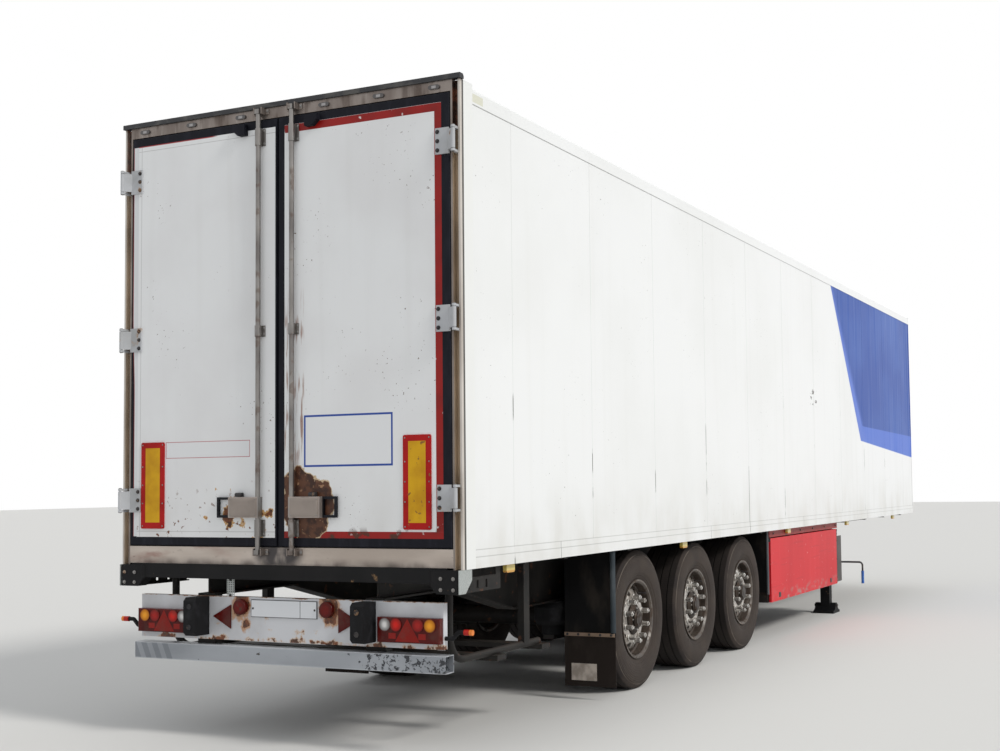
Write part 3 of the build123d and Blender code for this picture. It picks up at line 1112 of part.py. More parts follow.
# Suspension: a folded hanger ahead of each axle, a trailing arm under the beam, an air spring.
arm_top = TYRE_RADIUS - AXLE_TUBE_RADIUS
arm_bottom = arm_top - ARM_HEIGHT
spring_base = arm_top - 20
spring_top = RAIL_BOTTOM
hangers = []
arms = []
springs = []
for axle_ahead in AXLE_AHEAD:
    axle_x = ahead(axle_ahead)
    eye_x = axle_x + HANGER_LEAD
    spring_x = axle_x - SPRING_BEHIND
    eye_z = arm_bottom + ARM_HEIGHT / 2
    hanger_points = [
        (eye_x - HANGER_LENGTH / 2, RAIL_BOTTOM),
        (eye_x - HANGER_LENGTH / 4, eye_z - ARM_EYE_RADIUS),
        (eye_x + HANGER_LENGTH / 4, eye_z - ARM_EYE_RADIUS),
        (eye_x + HANGER_LENGTH / 2, RAIL_BOTTOM),
    ]
    cheek_outer = RAIL_Y + HANGER_WIDTH / 2
    cheek_inner = RAIL_Y - HANGER_WIDTH / 2
    hanger_part = prism_y(hanger_points, cheek_outer - HANGER_SHEET, cheek_outer)
    hanger_part += prism_y(hanger_points, cheek_inner, cheek_inner + HANGER_SHEET)
    hanger_part += block(
        eye_x - HANGER_LENGTH / 2,
        eye_x + HANGER_LENGTH / 2,
        cheek_inner,
        cheek_outer,
        RAIL_BOTTOM - HANGER_SHEET,
        RAIL_BOTTOM,
    )
    hangers.extend(both_sides(hanger_part))
    arm_points = [
        (eye_x, arm_bottom + ARM_HEIGHT / 2 + 24),
        (eye_x, arm_bottom + ARM_HEIGHT / 2 - 24),
        (axle_x + 110, arm_bottom),
        (axle_x - 110, arm_bottom),
        (axle_x - ARM_TAIL - 60, spring_base - 30),
        (axle_x - ARM_TAIL - 60, spring_base),
        (axle_x - SPRING_BEHIND + SPRING_PISTON_RADIUS, spring_base),
        (axle_x - 110, arm_top),
        (axle_x + 110, arm_top),
    ]
    arm = prism_y(arm_points, RAIL_Y - ARM_WIDTH / 2, RAIL_Y + ARM_WIDTH / 2)
    arm += rod_along("y", ARM_EYE_RADIUS, (eye_x, RAIL_Y - ARM_WIDTH / 2, eye_z), ARM_WIDTH)
    arms.extend(both_sides(arm))
    bellows_profile = [
        (0, spring_base),
        (SPRING_PISTON_RADIUS, spring_base),
        (SPRING_PISTON_RADIUS - 8, spring_base + SPRING_PISTON_HEIGHT),
        (SPRING_RADIUS - 22, spring_base + SPRING_PISTON_HEIGHT - 14),
        (SPRING_RADIUS, spring_base + SPRING_PISTON_HEIGHT + 22),
        (SPRING_RADIUS, spring_top - SPRING_PLATE - 34),
        (SPRING_RADIUS - 24, spring_top - SPRING_PLATE),
        (SPRING_RADIUS - 24, spring_top),
        (0, spring_top),
    ]
    bellows_face = make_face(Polyline(*[(r, 0, z) for r, z in bellows_profile], close=True))
    bellows = Pos(spring_x, RAIL_Y, 0) * revolve(bellows_face, axis=Axis.Z, revolution_arc=360)
    springs.extend(both_sides(bellows))
save("suspension_hangers", hangers)
save("trailing_arms", arms)
save("air_springs", springs)

# Mudguards: sheet screens that hang from the floor behind and ahead of the wheels. Each rear
# screen has a round pole at its outer edge and a rubber mudflap below, clamped by a strip.
rear_screen = block(
    ahead(SCREEN_REAR_AHEAD), ahead(SCREEN_REAR_AHEAD) + SCREEN_THICKNESS, FLAP_INNER_Y, SCREEN_OUTER_Y,
    FLAP_TOP, FLOOR_BOTTOM,
)
rear_screen += block(
    ahead(SCREEN_REAR_AHEAD), ahead(SCREEN_REAR_AHEAD) + SCREEN_THICKNESS, SCREEN_OUTER_Y, FLAP_OUTER_Y,
    FLAP_TOP, BODY_BOTTOM,
)
pole_foot = FLAP_TOP + FLAP_STRIP_HEIGHT
screen_pole = rod_along(
    "z",
    SCREEN_POLE_RADIUS,
    (ahead(SCREEN_REAR_AHEAD), FLAP_OUTER_Y - SCREEN_POLE_RADIUS, pole_foot),
    BODY_BOTTOM - pole_foot,
)
front_screen = block(
    ahead(SCREEN_FRONT_AHEAD) - FLAP_THICKNESS, ahead(SCREEN_FRONT_AHEAD), FLAP_INNER_Y, SCREEN_OUTER_Y,
    FRONT_FLAP_BOTTOM, FLOOR_BOTTOM,
)
flap = block(
    ahead(SCREEN_REAR_AHEAD) - FLAP_THICKNESS, ahead(SCREEN_REAR_AHEAD), FLAP_INNER_Y, FLAP_OUTER_Y,
    FLAP_BOTTOM, FLAP_TOP + FLAP_STRIP_HEIGHT,
)
flap_strip = block(
    ahead(SCREEN_REAR_AHEAD) - FLAP_THICKNESS - 5, ahead(SCREEN_REAR_AHEAD) - FLAP_THICKNESS,
    FLAP_INNER_Y, FLAP_OUTER_Y, FLAP_TOP, FLAP_TOP + FLAP_STRIP_HEIGHT,
)
rear_guard = rear_screen + screen_pole + flap + flap_strip
save("mudguards", both_sides(rear_guard), both_sides(front_screen))

# Pallet box: an open sided carrier let in round the rails, with an end post ahead of it.
box_x0, box_x1 = ahead(BOX_AHEAD[0]), ahead(BOX_AHEAD[1])
flap_y0 = BOX_HALF_WIDTH + BOX_DOOR_GAP
flap_y1 = flap_y0 + BOX_DOOR_THICKNESS
flap_axis_y = (flap_y0 + flap_y1) / 2
flap_axis_z = BOX_TOP - BOX_DOOR_HINGE_DROP
carrier = block(box_x0, box_x1, -BOX_HALF_WIDTH, BOX_HALF_WIDTH, BOX_BOTTOM, BOX_BOTTOM + BOX_SHEET)
for wall_x in (box_x0, box_x1 - BOX_END_WALL):
    end_wall = block(
        wall_x, wall_x + BOX_END_WALL, -BOX_HALF_WIDTH, BOX_HALF_WIDTH, BOX_BOTTOM, BOX_TOP
    )
    ear = block(
        wall_x, wall_x + BOX_END_WALL, BOX_HALF_WIDTH, flap_y1, BOX_TOP - 2 * BOX_DOOR_HINGE_DROP, BOX_TOP
    )
    notch = block(wall_x - 1, wall_x + BOX_END_WALL + 1, flange_in, flange_out, RAIL_BOTTOM, BOX_TOP + 1)
    carrier += end_wall + ear + other_side(ear) - notch - other_side(notch)
for pin_x in (box_x0 + BOX_END_WALL, box_x1 - BOX_END_WALL - BOX_PIN_LENGTH):
    hinge_pin = rod_along("x", BOX_PIN_RADIUS, (pin_x, flap_axis_y, flap_axis_z), BOX_PIN_LENGTH)
    carrier += hinge_pin + other_side(hinge_pin)
end_post_top = BOX_TOP - END_POST_DROP
end_post = block(
    box_x1 + END_POST_AHEAD, box_x1 + END_POST_AHEAD + END_POST_LENGTH,
    BOX_HALF_WIDTH - END_POST_WIDTH, BOX_HALF_WIDTH, BOX_BOTTOM, end_post_top,
)
end_post += rod_along(
    "x",
    END_POST_WIDTH / 2,
    (box_x1, BOX_HALF_WIDTH - END_POST_WIDTH / 2, end_post_top),
    END_POST_AHEAD + END_POST_LENGTH,
)
save("pallet_box", carrier + end_post + other_side(end_post))

# Fixed red fascia above each flap, screwed to the outriggers' ends.
fascia = block(box_x0, box_x1, flap_y0, flap_y1, BOX_TOP + FASCIA_GAP, BODY_BOTTOM - FASCIA_DROP)
save("pallet_box_fascia", both_sides(fascia))

# Pallet box flaps: hung on pins in the ears, each a red sheet panel that lifts outwards.
for side, name in ((1, "left"), (-1, "right")):
    leaf_x0 = box_x0 + BOX_END_WALL + DOOR_CLEARANCE
    leaf_x1 = box_x1 - BOX_END_WALL - DOOR_CLEARANCE
    leaf = block(leaf_x0, leaf_x1, side * flap_y0, side * flap_y1, BOX_BOTTOM, BOX_TOP)
    leaf -= rod_along(
        "x",
        BOX_PIN_RADIUS + HINGE_PIN_CLEARANCE,
        (box_x0, side * flap_axis_y, flap_axis_z),
        BOX_END_WALL + BOX_PIN_LENGTH + DOOR_CLEARANCE,
    )
    leaf -= rod_along(
        "x",
        BOX_PIN_RADIUS + HINGE_PIN_CLEARANCE,
        (box_x1, side * flap_axis_y, flap_axis_z),
        -(BOX_END_WALL + BOX_PIN_LENGTH + DOOR_CLEARANCE),
    )
    save("pallet_door_" + name, leaf)

# Landing legs: a fixed outer tube, an inner tube with a tilting foot, a braced mounting.
leg_x = ahead(LEG_AHEAD)
half_outer, half_inner = LEG_OUTER / 2, LEG_INNER / 2
leg = block(
    leg_x - half_outer, leg_x + half_outer, LEG_Y - half_outer, LEG_Y + half_outer,
    LEG_OUTER_BOTTOM, LEG_OUTER_TOP,
)
leg += block(
    leg_x - half_inner, leg_x + half_inner, LEG_Y - half_inner, LEG_Y + half_inner,
    LEG_FOOT_AXLE_Z - 30, LEG_OUTER_BOTTOM,
)
foot_points = [
    (leg_x - LEG_FOOT_LENGTH / 2, 0),
    (leg_x + LEG_FOOT_LENGTH / 2, 0),
    (leg_x + LEG_FOOT_LENGTH / 2, LEG_FOOT_HEIGHT / 2),
    (leg_x + LEG_FOOT_LENGTH / 4, LEG_FOOT_HEIGHT),
    (leg_x + half_inner / 2, LEG_FOOT_AXLE_Z + 30),
    (leg_x - half_inner / 2, LEG_FOOT_AXLE_Z + 30),
    (leg_x - LEG_FOOT_LENGTH / 4, LEG_FOOT_HEIGHT),
    (leg_x - LEG_FOOT_LENGTH / 2, LEG_FOOT_HEIGHT / 2),
]
leg += prism_y(foot_points, LEG_Y - LEG_FOOT_WIDTH / 2, LEG_Y + LEG_FOOT_WIDTH / 2)
mount_points = [
    (leg_x - half_outer, LEG_OUTER_TOP),
    (leg_x - half_outer, RAIL_BOTTOM),
    (leg_x + half_outer, RAIL_BOTTOM),
    (leg_x + 2.5 * half_outer, LEG_OUTER_TOP),
]
leg += prism_y(mount_points, flange_out, flange_out + LEG_BRACE_THICKNESS)
leg += block(
    leg_x - half_outer, leg_x + half_outer, flange_out, LEG_Y - half_outer,
    LEG_OUTER_TOP - 60, LEG_OUTER_TOP,
)
leg += block(
    leg_x - half_outer, leg_x + half_outer, flange_out, LEG_Y - half_outer, RAIL_BOTTOM, RAIL_BOTTOM + 60
)


# Cross shaft between the legs, the gearbox on the right leg and its folded crank.
shaft_reach = LEG_Y - half_outer
shaft = rod_along("y", LEG_SHAFT_RADIUS, (leg_x, -shaft_reach, LEG_SHAFT_Z), 2 * shaft_reach)
gear_x = leg_x + half_outer
gearbox = block(
    gear_x, gear_x + LEG_GEARBOX[0], -LEG_Y - half_outer, -LEG_Y - half_outer + LEG_GEARBOX[1],
    CRANK_Z - LEG_GEARBOX[2] / 2, CRANK_Z + LEG_GEARBOX[2] / 2,
)
crank_x = leg_x + CRANK_PAST_LEG
crank_start = -LEG_Y - half_outer
grip_end_z = CRANK_Z - CRANK_DROP
crank_y = -(HALF_BODY + CRANK_OVERREACH - CRANK_GRIP_RADIUS)
crank_path = FilletPolyline(
    (crank_x, crank_start, CRANK_Z),
    (crank_x, crank_y, CRANK_Z),
    (crank_x, crank_y, grip_end_z),
    radius=CRANK_BEND_RADIUS,
)
crank = sweep(
    Plane(origin=(crank_x, crank_start, CRANK_Z), z_dir=(0, -1, 0)) * Circle(CRANK_BAR_RADIUS),
    path=crank_path,
)
save("landing_legs", leg + other_side(leg) + shaft + gearbox)
crank += rod_along("z", CRANK_GRIP_RADIUS, (crank_x, crank_y, grip_end_z), CRANK_GRIP_LENGTH)
save("landing_crank", crank)

# Carrier under the rear overhang: slotted rails, a bent tube hoop a side and two cross bars.
cradle_bars = []
for bar_ahead in CRADLE_BAR_AHEAD:
    bar_x = ahead(bar_ahead)
    cradle_bars.append(
        block(
            bar_x - CRADLE_BAR_WIDTH / 2, bar_x + CRADLE_BAR_WIDTH / 2,
            CRADLE_INSET - HALF_BODY, HALF_BODY - CRADLE_INSET,
            CRADLE_BAR_Z - CRADLE_BAR_HEIGHT / 2, CRADLE_BAR_Z + CRADLE_BAR_HEIGHT / 2,
        )
    )
bar_top = CRADLE_BAR_Z + CRADLE_BAR_HEIGHT / 2
hoop_z = bar_top + HOOP_TUBE_RADIUS - HOOP_SINK
hoop_end_x = ahead(CRADLE_BAR_AHEAD[1])
hoop_y = HALF_BODY - HOOP_INSET
hoop_path = FilletPolyline(
    (ahead(HOOP_AHEAD), hoop_y, FLOOR_BOTTOM),
    (ahead(HOOP_AHEAD), hoop_y, hoop_z),
    (hoop_end_x, hoop_y, hoop_z),
    radius=HOOP_BEND,
)
hoop = sweep(
    Plane(origin=(ahead(HOOP_AHEAD), hoop_y, FLOOR_BOTTOM), z_dir=(0, 0, -1)) * Circle(HOOP_TUBE_RADIUS),
    path=hoop_path,
)
hanger_x = ahead(CRADLE_HANGER_AHEAD)
hoop += block(
    hanger_x - CRADLE_HANGER_WIDTH / 2, hanger_x + CRADLE_HANGER_WIDTH / 2,
    hoop_y - HOOP_TUBE_RADIUS, hoop_y + HOOP_TUBE_RADIUS,
    hoop_z, FLOOR_BOTTOM,
)
frame_side = hoop + other_side(hoop)
for bar in cradle_bars:
    frame_side += bar

slot_top, slot_foot = BODY_BOTTOM - SLOT_RAIL_DROP[0], BODY_BOTTOM - SLOT_RAIL_DROP[1]
slot_outer = HALF_BODY - WALL + SLOT_RAIL_WALL
slot_web = slot_outer - SLOT_RAIL_WALL
slot_flange = slot_outer - SLOT_RAIL_FLANGE
slot_section = [
    (slot_outer, slot_foot),
    (slot_outer, slot_top),
    (slot_flange, slot_top),
    (slot_flange, slot_top - SLOT_RAIL_WALL),
    (slot_web, slot_top - SLOT_RAIL_WALL),
    (slot_web, slot_foot + SLOT_RAIL_WALL),
    (slot_flange, slot_foot + SLOT_RAIL_WALL),
    (slot_flange, slot_foot),
]
slot_end_x = ahead(SLOT_RAIL_END_AHEAD)
slot_rail = prism_x(slot_section, CROSSBEAM_FRONT_X, slot_end_x)
slot_rail += block(slot_end_x - SLOT_RAIL_TAB, slot_end_x, slot_web, slot_outer, slot_top, BODY_BOTTOM)
slot_middle = (slot_top + slot_foot) / 2
for slot_index in range(SLOT_COUNT):
    slot_x = ahead(SLOT_FIRST_AHEAD + SLOT_PITCH * slot_index)
    slot_rail -= block(
        slot_x - SLOT_LENGTH / 2, slot_x + SLOT_LENGTH / 2, slot_web - 1, slot_outer + 1,
        slot_middle - SLOT_HEIGHT / 2, slot_middle + SLOT_HEIGHT / 2,
    )
save("storage_cradle", frame_side, both_sides(slot_rail))

# Air tanks: two cylinders with coned ends, hung under the cross members ahead of the legs.
tank_z = RAIL_TOP - CROSS_MEMBER_HEIGHT - AIR_TANK_RADIUS


def tank(radius, length, end):
    """Return a cylinder along X with shallow coned ends, centred on the origin."""
    profile = [
        (-length / 2, 0),
        (-length / 2, radius * 0.55),
        (-length / 2 + end, radius),
        (length / 2 - end, radius),
        (length / 2, radius * 0.55),
        (length / 2, 0),
    ]
    face = make_face(Polyline(*[(x, 0, z) for x, z in profile], close=True))
    return revolve(face, axis=Axis.X, revolution_arc=360)


air_tank = tank(AIR_TANK_RADIUS, AIR_TANK_LENGTH, AIR_TANK_END)
air_tank_y = RAIL_Y - AIR_TANK_INBOARD
save("air_tanks", both_sides(Pos(leg_x + AIR_TANK_PAST_LEG, air_tank_y, tank_z) * air_tank))

# Fuel tank for the refrigeration unit, strapped to two saddles under the floor on the left.
fuel_x0, fuel_x1 = leg_x + FUEL_TANK_PAST_LEG[0], leg_x + FUEL_TANK_PAST_LEG[1]
fuel_z = FLOOR_BOTTOM - FUEL_TANK_DROP - FUEL_TANK_RADIUS
fuel = tank(FUEL_TANK_RADIUS, fuel_x1 - fuel_x0, FUEL_TANK_END)
for strap_x in (-(fuel_x1 - fuel_x0) / 4, (fuel_x1 - fuel_x0) / 4):
    fuel += rod_along(
        "x", FUEL_TANK_RADIUS + STRAP_BAND_THICKNESS, (strap_x - STRAP_BAND / 2, 0, 0), STRAP_BAND
    )
    fuel += block(
        strap_x - STRAP_BAND / 2,
        strap_x + STRAP_BAND / 2,
        -SADDLE_HALF_WIDTH,
        SADDLE_HALF_WIDTH,
        FUEL_TANK_RADIUS * 0.8,
        FUEL_TANK_RADIUS + FUEL_TANK_DROP,
    )
save("fuel_tank", Pos((fuel_x0 + fuel_x1) / 2, HALF_BODY - FUEL_TANK_INSET, fuel_z) * fuel)

# Refrigeration unit: a nose mounted housing with rounded corners and a sloped top.
unit_bottom, unit_top = BODY_BOTTOM + UNIT_RISE, BODY_TOP - UNIT_DROP
unit_outline = [
    (FRONT_X, unit_bottom),
    (FRONT_X + UNIT_DEPTH, unit_bottom + UNIT_NOSE_SLOPE / 2),
    (FRONT_X + UNIT_DEPTH, unit_top - UNIT_NOSE_SLOPE),
    (FRONT_X + UNIT_DEPTH - UNIT_NOSE_SLOPE, unit_top),
    (FRONT_X, unit_top),
]
unit = prism_y(unit_outline, UNIT_INSET - HALF_BODY, HALF_BODY - UNIT_INSET)
unit_corners = [
    e for e in unit.edges().filter_by(Axis.Z) if e.center().X > FRONT_X + UNIT_DEPTH - 1
]
unit = fillet(unit_corners, UNIT_CORNER_RADIUS)
save("refrigeration_unit", unit)

# Service couplings low on the front wall: air lines and electric sockets on round bases.
coupling_z = BODY_BOTTOM + COUPLING_RISE
couplings = []
for coupling_y in COUPLING_Y:
    coupling = rod_along("x", COUPLING_RADIUS + 12, (FRONT_X, coupling_y, coupling_z), COUPLING_BASE)
    coupling += rod_along("x", COUPLING_RADIUS, (FRONT_X, coupling_y, coupling_z), COUPLING_LENGTH)
    couplings.append(coupling)
save("line_couplings", couplings)
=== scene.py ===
import bmesh
import bpy
from math import cos, pi, radians, sin
from mathutils import Matrix, Vector


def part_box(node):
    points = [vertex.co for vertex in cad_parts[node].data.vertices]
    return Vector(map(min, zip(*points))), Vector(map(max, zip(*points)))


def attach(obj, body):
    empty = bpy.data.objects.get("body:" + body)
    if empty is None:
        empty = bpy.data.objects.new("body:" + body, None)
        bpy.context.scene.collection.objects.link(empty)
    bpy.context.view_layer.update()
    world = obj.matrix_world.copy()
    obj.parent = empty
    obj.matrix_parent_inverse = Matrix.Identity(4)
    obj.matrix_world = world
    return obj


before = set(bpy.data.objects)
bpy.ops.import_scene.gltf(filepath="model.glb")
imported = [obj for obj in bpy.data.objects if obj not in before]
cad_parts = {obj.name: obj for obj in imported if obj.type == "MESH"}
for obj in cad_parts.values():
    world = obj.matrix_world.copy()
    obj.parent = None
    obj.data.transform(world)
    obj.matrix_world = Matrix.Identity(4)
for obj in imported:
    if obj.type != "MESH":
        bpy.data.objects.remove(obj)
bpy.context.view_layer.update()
rear_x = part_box("door_right")[0].x
front_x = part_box("front_wall")[1].x
sides = (("left", 1), ("right", -1))

# The yard. The trailer stands on a plain pale floor under an even white sky. One broad lamp,
# high on the trailer's right, lights the long side more than the doors, as in daylight.
bpy.ops.object.select_all(action="DESELECT")
bpy.ops.mesh.primitive_plane_add(size=160, location=(0, 0, 0))
yard = bpy.context.object
yard.name = "yard_floor"
concrete = bpy.data.materials.new("yard_floor")
concrete.use_nodes = True
concrete.node_tree.nodes["Principled BSDF"].inputs["Base Color"].default_value = (0.72, 0.71, 0.69, 1)
concrete.node_tree.nodes["Principled BSDF"].inputs["Roughness"].default_value = 0.9
yard.data.materials.append(concrete)

sky = bpy.data.worlds.new("white_sky")
bpy.context.scene.world = sky
sky.use_nodes = True
sky_nodes, sky_links = sky.node_tree.nodes, sky.node_tree.links
sky_nodes["Background"].inputs["Color"].default_value = (0.94, 0.97, 1.0, 1)
sky_nodes["Background"].inputs["Strength"].default_value = 0.62
white_sky = sky_nodes.new("ShaderNodeBackground")
white_sky.inputs["Color"].default_value = (1, 1, 1, 1)
white_sky.inputs["Strength"].default_value = 1.0
rays = sky_nodes.new("ShaderNodeLightPath")
seen = None
for ray in ("Is Camera Ray", "Is Glossy Ray", "Is Transmission Ray"):
    if seen is None:
        seen = rays.outputs[ray]
        continue
    greater = sky_nodes.new("ShaderNodeMath")
    greater.operation = "MAXIMUM"
    sky_links.new(seen, greater.inputs[0])
    sky_links.new(rays.outputs[ray], greater.inputs[1])
    seen = greater.outputs[0]
sky_mix = sky_nodes.new("ShaderNodeMixShader")
sky_links.new(seen, sky_mix.inputs[0])
sky_links.new(sky_nodes["Background"].outputs[0], sky_mix.inputs[1])
sky_links.new(white_sky.outputs[0], sky_mix.inputs[2])
sky_links.new(sky_mix.outputs[0], sky_nodes["World Output"].inputs["Surface"])

lamp_data = bpy.data.lights.new("side_lamp", "SUN")
lamp_data.energy = 1.7
lamp_data.angle = radians(14)
lamp_data.color = (1.0, 0.98, 0.94)
side_lamp = bpy.data.objects.new("side_lamp", lamp_data)
bpy.context.scene.collection.objects.link(side_lamp)
side_lamp.rotation_euler = Vector((-0.12, -0.74, 0.62)).to_track_quat("Z", "Y").to_euler()

# The camera stands at a person's eye height behind the trailer's right rear corner.
eye = Vector((rear_x - 6.833, -5.2405, 1.6015))
turn, tilt, lean = 0.4348, 0.0583, -0.0122
ahead_of_eye = Vector((cos(turn) * cos(tilt), sin(turn) * cos(tilt), sin(tilt)))
level = Vector((sin(turn), -cos(turn), 0))
upright = level.cross(ahead_of_eye)
across = cos(lean) * level + sin(lean) * upright
upward = cos(lean) * upright - sin(lean) * level
camera_data = bpy.data.cameras.new("yard_camera")
camera_data.lens = 48.28
camera_data.sensor_width = 36
camera_data.shift_x = -0.0798
camera_data.shift_y = 0.029
camera_data.clip_end = 400
camera = bpy.data.objects.new("yard_camera", camera_data)
bpy.context.scene.collection.objects.link(camera)
camera.matrix_world = Matrix.Translation(eye) @ Matrix((across, upward, -ahead_of_eye)).transposed().to_4x4(
    
)
bpy.context.scene.camera = camera
bpy.context.scene.view_settings.view_transform = "Standard"


# Side walls and front wall: smooth white laminate panels with open seams, a stepped lower rail
# and an upper rail. A blue field with a paler lower border is printed near the front end.
def tone(code):
    """A colour as it looks, such as e9e8e4, turned into the shader's scale."""
    parts = [int(code[i:i + 2], 16) / 255 for i in (0, 2, 4)]
    return [p / 12.92 if p <= 0.04045 else ((p + 0.055) / 1.055) ** 2.4 for p in parts] + [1.0]


def paint(name, **settings):
    """A new material whose shader carries these plain settings."""
    material = bpy.data.materials.new(name)
    material.use_nodes = True
    shader = material.node_tree.nodes["Principled BSDF"]
    for socket, value in settings.items():
        shader.inputs[socket.replace("_", " ")].default_value = value
    return material


def knot(kind, inputs, **settings):
    """One node, its sockets filled by numbers or by other nodes' sockets, in the tree of those."""
    tree = next(v.id_data for v in inputs.values() if isinstance(v, bpy.types.NodeSocket))
    node = tree.nodes.new("ShaderNode" + kind)
    for key, value in settings.items():
        setattr(node, key, value)
    for key, value in inputs.items():
        if isinstance(value, bpy.types.NodeSocket):
            tree.links.new(value, node.inputs[key])
        else:
            node.inputs[key].default_value = value
    return node


def reckon(operation, a, b=0.0, c=0.0):
    """One step of arithmetic."""
    return knot("Math", {0: a, 1: b, 2: c}, operation=operation).outputs[0]


def times(a, b):
    """The product of two masks or values."""
    return reckon("MULTIPLY", a, b)


def plus(a, b):
    """The sum of two values."""
    return reckon("ADD", a, b)


def minus(a, b):
    """The difference of two values."""
    return reckon("SUBTRACT", a, b)


def outside(mask):
    """Where the mask is not."""
    return reckon("SUBTRACT", 1.0, mask)


def unsigned(value):
    """The value without its sign."""
    return reckon("ABSOLUTE", value)


def zigzag(value, half):
    """The value folded to and fro between 0 and a half wave."""
    return reckon("PINGPONG", value, half)


def away(a, b):
    """The distance from zero in two directions."""
    return reckon("SQRT", plus(times(a, a), times(b, b)))


def spot(material):
    """The place on the object: the point itself, then its x, y and z."""
    point = material.node_tree.nodes.new("ShaderNodeTexCoord").outputs["Object"]
    axes = knot("SeparateXYZ", {0: point}).outputs
    return point, axes[0], axes[1], axes[2]


def rise(value, low, high):
    """A smooth step from 0 at low to 1 at high; low may be the greater."""
    inputs = {"Value": value, "From Min": low, "From Max": high}
    return knot("MapRange", inputs, interpolation_type="SMOOTHSTEP").outputs["Result"]


def spread(mask, low, high):
    """A value that runs from low to high with the mask."""
    return knot("MapRange", {"Value": mask, "To Min": low, "To Max": high}).outputs[0]


def band(value, low, high, soft=0.002):
    """1 between low and high, and 0 outside."""
    return times(rise(value, low - soft, low), rise(value, high + soft, high))


def both(*masks):
    """Where all the masks are."""
    shared = masks[0]
    for mask in masks[1:]:
        shared = times(shared, mask)
    return shared


def either(*masks):
    """Where any of the masks is."""
    joined = masks[0]
    for mask in masks[1:]:
        joined = reckon("MAXIMUM", joined, mask)
    return joined


def lumps(point, scale, detail, roughness):
    """Plain noise round 0.5."""
    inputs = {"Vector": point, "Scale": scale, "Detail": detail, "Roughness": roughness}
    return knot("TexNoise", inputs).outputs["Fac"]


def mottle(point, scale, low, high, stretch=(1, 1, 1), shift=(0, 0, 0), detail=5.0):
    """Uneven patches: 0 where the noise is below low, 1 above high."""
    moved = knot("Mapping", {"Vector": point, "Scale": stretch, "Location": shift})
    noise = knot("TexNoise", {"Vector": moved.outputs[0], "Scale": scale, "Detail": detail})
    return rise(noise.outputs["Fac"], low, high)


def over(under, mask, top):
    """The colour top laid over another colour where the mask is; a code such as e9e8e4 will do."""
    under, top = [tone(c) if isinstance(c, str) else c for c in (under, top)]
    return knot("Mix", {"Factor": mask, 6: under, 7: top}, data_type="RGBA").outputs[2]


def feed(material, value, socket):
    """Join a value to one socket of the shader."""
    material.node_tree.links.new(value, material.node_tree.nodes["Principled BSDF"].inputs[socket])


def show(material, colour, roughness=None, height=None, depth=0.002, strength=0.5):
    """Join a colour, a roughness and a relief to the shader."""
    feed(material, colour, "Base Color")
    if roughness is not None:
        feed(material, roughness, "Roughness")
    if height is not None:
        bump = knot("Bump", {"Height": height, "Distance": depth, "Strength": strength})
        feed(material, bump.outputs[0], "Normal")
    return material


def dress(material, *names):
    """Give a material to CAD nodes."""
    for name in names:
        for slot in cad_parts[name].material_slots:
            slot.material = material


laminate = paint("white_laminate", Roughness=0.34, Coat_Weight=0.25, Coat_Roughness=0.12)
point, x, y, z = spot(laminate)
ahead = minus(x, rear_x)


def beyond(x, z, start, end, soft=0.006):
    """1 on the front side of a line between two (ahead, height) points, 0 behind it."""
    run, climb = end[0] - start[0], end[1] - start[1]
    length = (run * run + climb * climb) ** 0.5
    across = reckon("MULTIPLY_ADD", x, -climb / length, start[0] * climb / length)
    along = reckon("MULTIPLY_ADD", z, run / length, -start[1] * run / length)
    return rise(plus(across, along), -soft, soft)


field = both(
    beyond(ahead, z, (8.749, 3.91), (10.125, 2.09)),
    beyond(ahead, z, (10.125, 2.09), (13.3, 1.92)),
    rise(ahead, 13.336, 13.33),
    rise(z, 3.903, 3.899),
    rise(unsigned(y), 1.262, 1.27),
)
inner_field = both(
    field, beyond(ahead, z, (9.27, 3.26), (10.21, 2.28)), beyond(ahead, z, (10.21, 2.28), (13.27, 2.23))
)
edge_glow = beyond(ahead, z, (8.78, 3.91), (10.3, 2.2), 0.1)
seam = zigzag(minus(ahead, 0.66), 0.602)
white = over("edeeee", mottle(point, 0.7, 0.4, 0.7), "e8e9e8")
runs = mottle(point, 1.0, 0.52, 0.75, stretch=(9, 1, 0.35))
white = over(white, times(runs, 0.10), "dddcd8")
foot = both(rise(z, 1.75, 1.12), mottle(point, 3.0, 0.35, 0.75, stretch=(1, 1, 0.5)))
white = over(white, times(foot, 0.5), "c9c6bd")
white = over(white, times(rise(seam, 0.003, 0.0015), 0.14), "a5a39e")
rail_lines = either(band(z, 1.165, 1.169), band(z, 1.2085, 1.212), band(z, 3.899, 3.902))
white = over(white, times(rail_lines, 0.4), "80807c")
rail_joint = either(*[band(ahead, a - 0.002, a + 0.002, 0.001) for a in (1.33, 4.36, 7.36, 10.4)])
rail_joint = both(rail_joint, rise(z, 1.212, 1.209))
white = over(white, rail_joint, "5e5c58")
scuffs = both(
    band(ahead, 7.72, 8.0, 0.03),
    band(z, 2.45, 2.6, 0.02),
    mottle(point, 22.0, 0.56, 0.6, stretch=(0.4, 1, 1.3)),
)
specks = both(mottle(point, 60.0, 0.73, 0.76, detail=2.0), mottle(point, 1.7, 0.5, 0.6))
cracks = both(
    rise(seam, 0.007, 0.003),
    mottle(point, 2.2, 0.55, 0.6, shift=(3, 0, 1)),
    rise(z, 2.5, 2.2),
)
white = over(white, either(scuffs, specks, cracks), "56534e")
blue = over("1b4aa2", mottle(point, 0.9, 0.35, 0.75, stretch=(0.7, 1, 1)), "3760b2")
blue = over("4d72d0", inner_field, blue)
blue = over("5c7ad2", edge_glow, blue)
blue_runs = mottle(point, 2.0, 0.5, 0.75, stretch=(8, 1, 0.3))
blue = over(blue, times(blue_runs, 0.12), "9fb0dc")
skin = over(white, field, blue)
right_side = rise(y, -1.2, -1.25)
